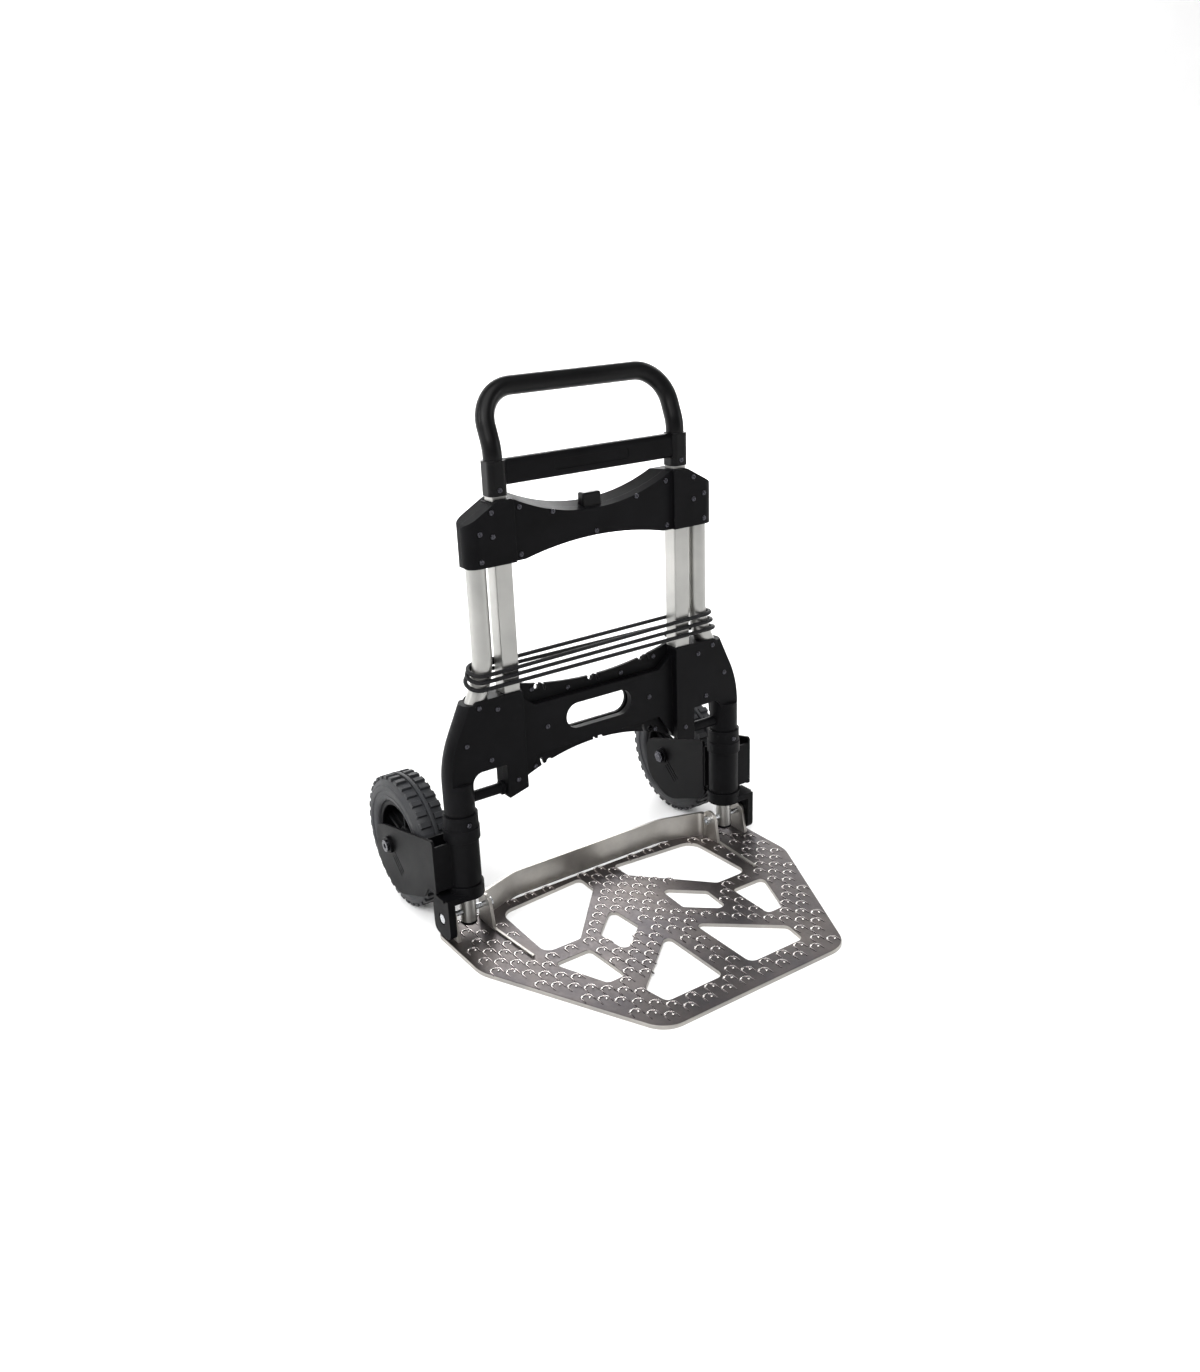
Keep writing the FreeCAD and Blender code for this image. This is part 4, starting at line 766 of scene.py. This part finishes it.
def block_tree():
    """Two staggered rows of blocks round the wheel's axis, which lies along X."""
    tree, given, out = new_tree("tyre_blocks", [
        ("Block", "NodeSocketObject", None), ("Count", "NodeSocketInt", 36),
        ("Radius", "NodeSocketFloat", 0.098), ("Row offset", "NodeSocketFloat", 0.013),
        ("Finish", "NodeSocketMaterial", None)])
    ring = add(tree, "GeometryNodeMeshCircle", links={"Vertices": given.outputs["Count"],
                                                      "Radius": given.outputs["Radius"]})
    block = add(tree, "GeometryNodeObjectInfo", links={"Object": given.outputs["Block"]})
    here = add(tree, "GeometryNodeInputPosition")
    facing = add(tree, "FunctionNodeAlignRotationToVector", links={"Vector": here.outputs["Position"]},
                 axis="Z")
    upright = add(tree, "FunctionNodeAlignRotationToVector", {"Vector": (0.0, 0.0, 1.0)},
                  {"Rotation": facing.outputs["Rotation"]}, axis="X", pivot_axis="Z")
    copies = add(tree, "GeometryNodeInstanceOnPoints", links={
        "Points": ring.outputs["Mesh"], "Instance": block.outputs["Geometry"],
        "Rotation": upright.outputs["Rotation"]})
    half = add(tree, "ShaderNodeMath", {0: math.pi}, {1: given.outputs["Count"]}, operation="DIVIDE")
    rows = []
    for sign in (1.0, -1.0):
        shift = add(tree, "ShaderNodeMath", {1: sign}, {0: given.outputs["Row offset"]}, operation="MULTIPLY")
        move = add(tree, "ShaderNodeCombineXYZ", links={"Z": shift.outputs[0]})
        turn = add(tree, "ShaderNodeCombineXYZ")
        if sign < 0:
            tree.links.new(half.outputs[0], turn.inputs["Z"])
        row = add(tree, "GeometryNodeTransform", links={
            "Geometry": copies.outputs["Instances"], "Translation": move.outputs[0],
            "Rotation": turn.outputs[0]})
        rows.append(row.outputs["Geometry"])
    pair = add(tree, "GeometryNodeJoinGeometry")
    for row in rows:
        tree.links.new(row, pair.inputs["Geometry"])
    laid = add(tree, "GeometryNodeTransform", {"Rotation": (0.0, math.pi / 2, 0.0)},
               {"Geometry": pair.outputs["Geometry"]})
    solid = add(tree, "GeometryNodeRealizeInstances", links={"Geometry": laid.outputs["Geometry"]})
    painted = add(tree, "GeometryNodeSetMaterial", links={"Geometry": solid.outputs["Geometry"],
                                                          "Material": given.outputs["Finish"]})
    tree.links.new(painted.outputs["Geometry"], out.inputs["Geometry"])
    return tree


class HANDTRUCK_OT_wheels(bpy.types.Operator):
    """Tyres with their tread blocks, and the spoked rims"""
    bl_idname = "handtruck.wheels"
    bl_label = "Wheels"

    def execute(self, context):
        block = template("tyre_block", *block_shape(17.0 * MM, 9.6 * MM, 3.6 * MM))
        tree = block_tree()
        for side in SIDES:
            low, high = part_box(f"tyre_{side}")
            centre = (Vector(low) + Vector(high)) / 2
            h = (high[0] - low[0]) / 2
            r = (high[2] - low[2]) / 2
            t = r - 4.0 * MM
            bead = 64.0 * MM
            flank = [(h * 0.10, t), (h * 0.10, r - 0.3 * MM), (h * 0.06, r)]
            crown = [(h * 0.14, t), (h - 8 * MM, t), (h - 4.4 * MM, t - 2.0 * MM),
                     (h - 3.0 * MM, t - 5.0 * MM), (h - 1.2 * MM, t - 9.0 * MM),
                     (h - 1.6 * MM, t - 9.8 * MM), (h - 0.8 * MM, t - 10.6 * MM),
                     (h, bead + 20 * MM), (h - 0.3 * MM, bead + 16 * MM), (h - 1.6 * MM, bead + 15 * MM),
                     (h - 1.8 * MM, bead + 9 * MM), (h - 0.9 * MM, bead + 8 * MM),
                     (h - 1.2 * MM, bead + 5 * MM), (h - 3.0 * MM, bead + 1.5 * MM),
                     (h - 6 * MM, bead + 0.1 * MM)]
            half = [(0.0, r)] + list(reversed(flank)) + crown
            profile = half + [(-a, b) for a, b in reversed(half[1:])]
            carcass = mesh_object(f"tyre_{side}_carcass", *lathe(profile, centre, 120), "tyre_rubber")
            blocks = mesh_object(f"tyre_{side}_blocks", [(0, 0, 0)], [], None)
            baked(blocks, tree, {"Block": block, "Count": sizes().tyre_blocks, "Radius": t,
                                 "Row offset": h * 0.5, "Finish": material("tyre_rubber")})
            blocks.data.transform(Matrix.Translation(centre))
            if not blocks.data.polygons:
                raise RuntimeError("the tyre has no tread blocks")
            body = f"wheel_{side}"
            for piece in (carcass, blocks):
                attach(piece, body)
            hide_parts(f"tyre_{side}")
            self.rim(side, centre, h)
        drop(block)
        return {"FINISHED"}

    def rim(self, side, centre, h):
        """Barrel with lips, a stepped hub and five ribbed spokes."""
        edge = h - 6.2 * MM
        lip, seat, inside = 63.9 * MM, 62.6 * MM, 58.4 * MM
        lip_inside, groove = 57 * MM, 56.4 * MM
        barrel = [(-edge, lip_inside), (-edge, lip), (-edge + 2 * MM, lip), (-edge + 4 * MM, seat),
                  (edge - 4 * MM, seat), (edge - 2 * MM, lip), (edge, lip), (edge, lip_inside),
                  (edge - 2.5 * MM, groove), (edge - 4 * MM, inside), (-edge + 4 * MM, inside),
                  (-edge + 2.5 * MM, groove)]
        hub_end = h + 0.5 * MM
        bore, nose, barrel_r, waist = 10 * MM, 15.8 * MM, 17 * MM, 19.5 * MM
        hub = [(-hub_end, bore), (-hub_end, nose), (-hub_end + 1.2 * MM, barrel_r), (-10 * MM, barrel_r),
               (-8 * MM, waist), (8 * MM, waist), (10 * MM, barrel_r), (hub_end - 1.2 * MM, barrel_r),
               (hub_end, nose), (hub_end, bore)]
        parts = [lathe(barrel, centre, 96), lathe(hub, centre, 48)]
        for n in range(5):
            turn = Matrix.Rotation(math.radians(72 * n), 3, "X")
            for half_x, half_in, half_out in ((3.0, 7.5, 10.5), (8.5, 2.2, 3.0)):
                foot, tip = 17.5 * MM, 59.5 * MM
                corners = []
                for z, w in ((foot, half_in * MM), (tip, half_out * MM)):
                    for x, y in ((-1, -1), (1, -1), (1, 1), (-1, 1)):
                        corners.append(turn @ Vector((x * half_x * MM, y * w, z)) + centre)
                faces = [(3, 2, 1, 0), (4, 5, 6, 7), (0, 1, 5, 4), (1, 2, 6, 5), (2, 3, 7, 6), (3, 0, 4, 7)]
                parts.append((corners, faces))
        piece = mesh_object(f"wheel_rim_{side}_spoked", *joined(parts), "rim_nylon", 35)
        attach(piece, f"wheel_{side}")
        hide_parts(f"wheel_rim_{side}")


def bend_to(start, corner, stop):
    """Points on the arc tangent to the two equal legs that meet at the corner."""
    a = start - corner
    b = stop - corner
    half = a.angle(b) / 2
    centre = corner + (a.normalized() + b.normalized()).normalized() * (a.length / math.cos(half))
    u = start - centre
    v = stop - centre
    sweep = u.angle(v)
    steps = 14
    spots = []
    for n in range(1, steps):
        t = n / steps
        spots.append(centre + (u * math.sin((1 - t) * sweep) + v * math.sin(t * sweep)) / math.sin(sweep))
    return spots


def turn_back(p, heading, q, onward):
    """Points on the two tangent arcs from p, along heading, to q, leaving along onward."""
    gap = q - p
    square = 2 * (heading.dot(onward) - 1)
    slope = -2 * gap.dot(heading + onward)
    reach = (-slope - math.sqrt(slope ** 2 - 4 * square * gap.dot(gap))) / (2 * square)
    first = p + heading * reach
    last = q - onward * reach
    joint = (first + last) / 2
    return bend_to(p, first, joint) + [joint] + bend_to(joint, last, q)


def cord_line():
    """Centre line of the cord: straight runs front and rear, turned back round the two round tubes."""
    upright_x, tube_bend, bend_top = 187.0 * MM, 140.0 * MM, 417.733 * MM
    tube_y, wrap, clearance = 19.0 * MM, 17.6 * MM, 0.6 * MM
    middle, pitch, thick = 380.0 * MM, 9.5 * MM, 6.0 * MM

    def beside(side, y, z):
        fall = bend_top - z + thick
        x = upright_x + tube_bend - math.sqrt(tube_bend ** 2 - fall ** 2) + clearance
        return Vector((side * x, tube_y + y, z))

    rear_left, front_left, front_right, rear_right = (
        [middle + n * pitch for n in row]
        for row in ((2.1, 1.5, 0.7), (1.25, 0.3, -0.8), (2.1, 0.8, -0.5), (1.9, 0.4, -1.1)))
    end_x = 142.0 * MM
    spots = [Vector((-end_x, tube_y + wrap, rear_left[0]))]
    for n in range(3):
        spots += [beside(-1, wrap, rear_left[n]), beside(-1, -wrap, front_left[n])]
        spots += [beside(1, -wrap, front_right[n]), beside(1, wrap, rear_right[n])]
    spots.append(Vector((end_x, tube_y + wrap, rear_right[-1])))
    points = []
    for n in range(0, len(spots), 2):
        points += [spots[n], spots[n + 1]]
        if n + 2 < len(spots):
            heading = (spots[n + 1] - spots[n]).normalized()
            onward = (spots[n + 3] - spots[n + 2]).normalized()
            points += turn_back(spots[n + 1], heading, spots[n + 2], onward)
    return points


class HANDTRUCK_OT_cord(bpy.types.Operator):
    """Elastic cord in its braided sheath, wound round the two round tubes"""
    bl_idname = "handtruck.cord"
    bl_label = "Elastic cord"

    def execute(self, context):
        points = cord_line()
        count = 20
        radius = 2.96 * MM
        verts = []
        travelled = [0.0]
        up = Vector((0, 0, 1))
        for i, spot in enumerate(points):
            before = points[max(i - 1, 0)]
            after = points[min(i + 1, len(points) - 1)]
            heading = (after - before).normalized()
            up = (up - heading * up.dot(heading)).normalized()
            side = heading.cross(up)
            for k in range(count):
                angle = 2 * math.pi * k / count
                verts.append(spot + up * radius * math.cos(angle) + side * radius * math.sin(angle))
            if i:
                travelled.append(travelled[-1] + (spot - points[i - 1]).length)
        faces = []
        for i in range(len(points) - 1):
            for k in range(count):
                m = (k + 1) % count
                faces.append((i * count + k, i * count + m, (i + 1) * count + m, (i + 1) * count + k))
        last = (len(points) - 1) * count
        faces += [tuple(range(count)), tuple(last + k for k in reversed(range(count)))]
        cord = mesh_object("bungee_cord_braided", verts, faces, "braided_polyester", 60)
        layer = cord.data.uv_layers.new(name="cord")
        for face in cord.data.polygons:
            around = [v % count for v in face.vertices]
            wraps = len(around) == 4 and 0 in around and count - 1 in around
            for loop, v in zip(face.loop_indices, face.vertices):
                k = v % count
                layer.data[loop].uv = (travelled[v // count], 1.0 if wraps and k == 0 else k / count)
        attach(cord, "frame")
        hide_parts("bungee_cord")
        return {"FINISHED"}


OPERATORS = (HANDTRUCK_OT_stage, HANDTRUCK_OT_metalwork, HANDTRUCK_OT_mouldings, HANDTRUCK_OT_toe_plate,
             HANDTRUCK_OT_screws, HANDTRUCK_OT_wheels, HANDTRUCK_OT_cord)


class HANDTRUCK_PT_panel(bpy.types.Panel):
    """Lists the pieces and what can be changed"""
    bl_label = "Folding hand truck"
    bl_idname = "HANDTRUCK_PT_panel"
    bl_space_type = "VIEW_3D"
    bl_region_type = "UI"
    bl_category = "Hand truck"

    def draw(self, context):
        for name in HandTruckSizes.__annotations__:
            self.layout.prop(context.scene.hand_truck, name)
        for operator in OPERATORS:
            self.layout.operator(operator.bl_idname)


CLASSES = (HandTruckSizes, *OPERATORS, HANDTRUCK_PT_panel)


def register():
    for cls in CLASSES:
        bpy.utils.register_class(cls)
    bpy.types.Scene.hand_truck = bpy.props.PointerProperty(type=HandTruckSizes)


def unregister():
    del bpy.types.Scene.hand_truck
    for cls in reversed(CLASSES):
        bpy.utils.unregister_class(cls)


def main():
    register()
    for operator in OPERATORS:
        group, name = operator.bl_idname.split(".")
        getattr(getattr(bpy.ops, group), name)()


if __name__ == "__main__":
    main()
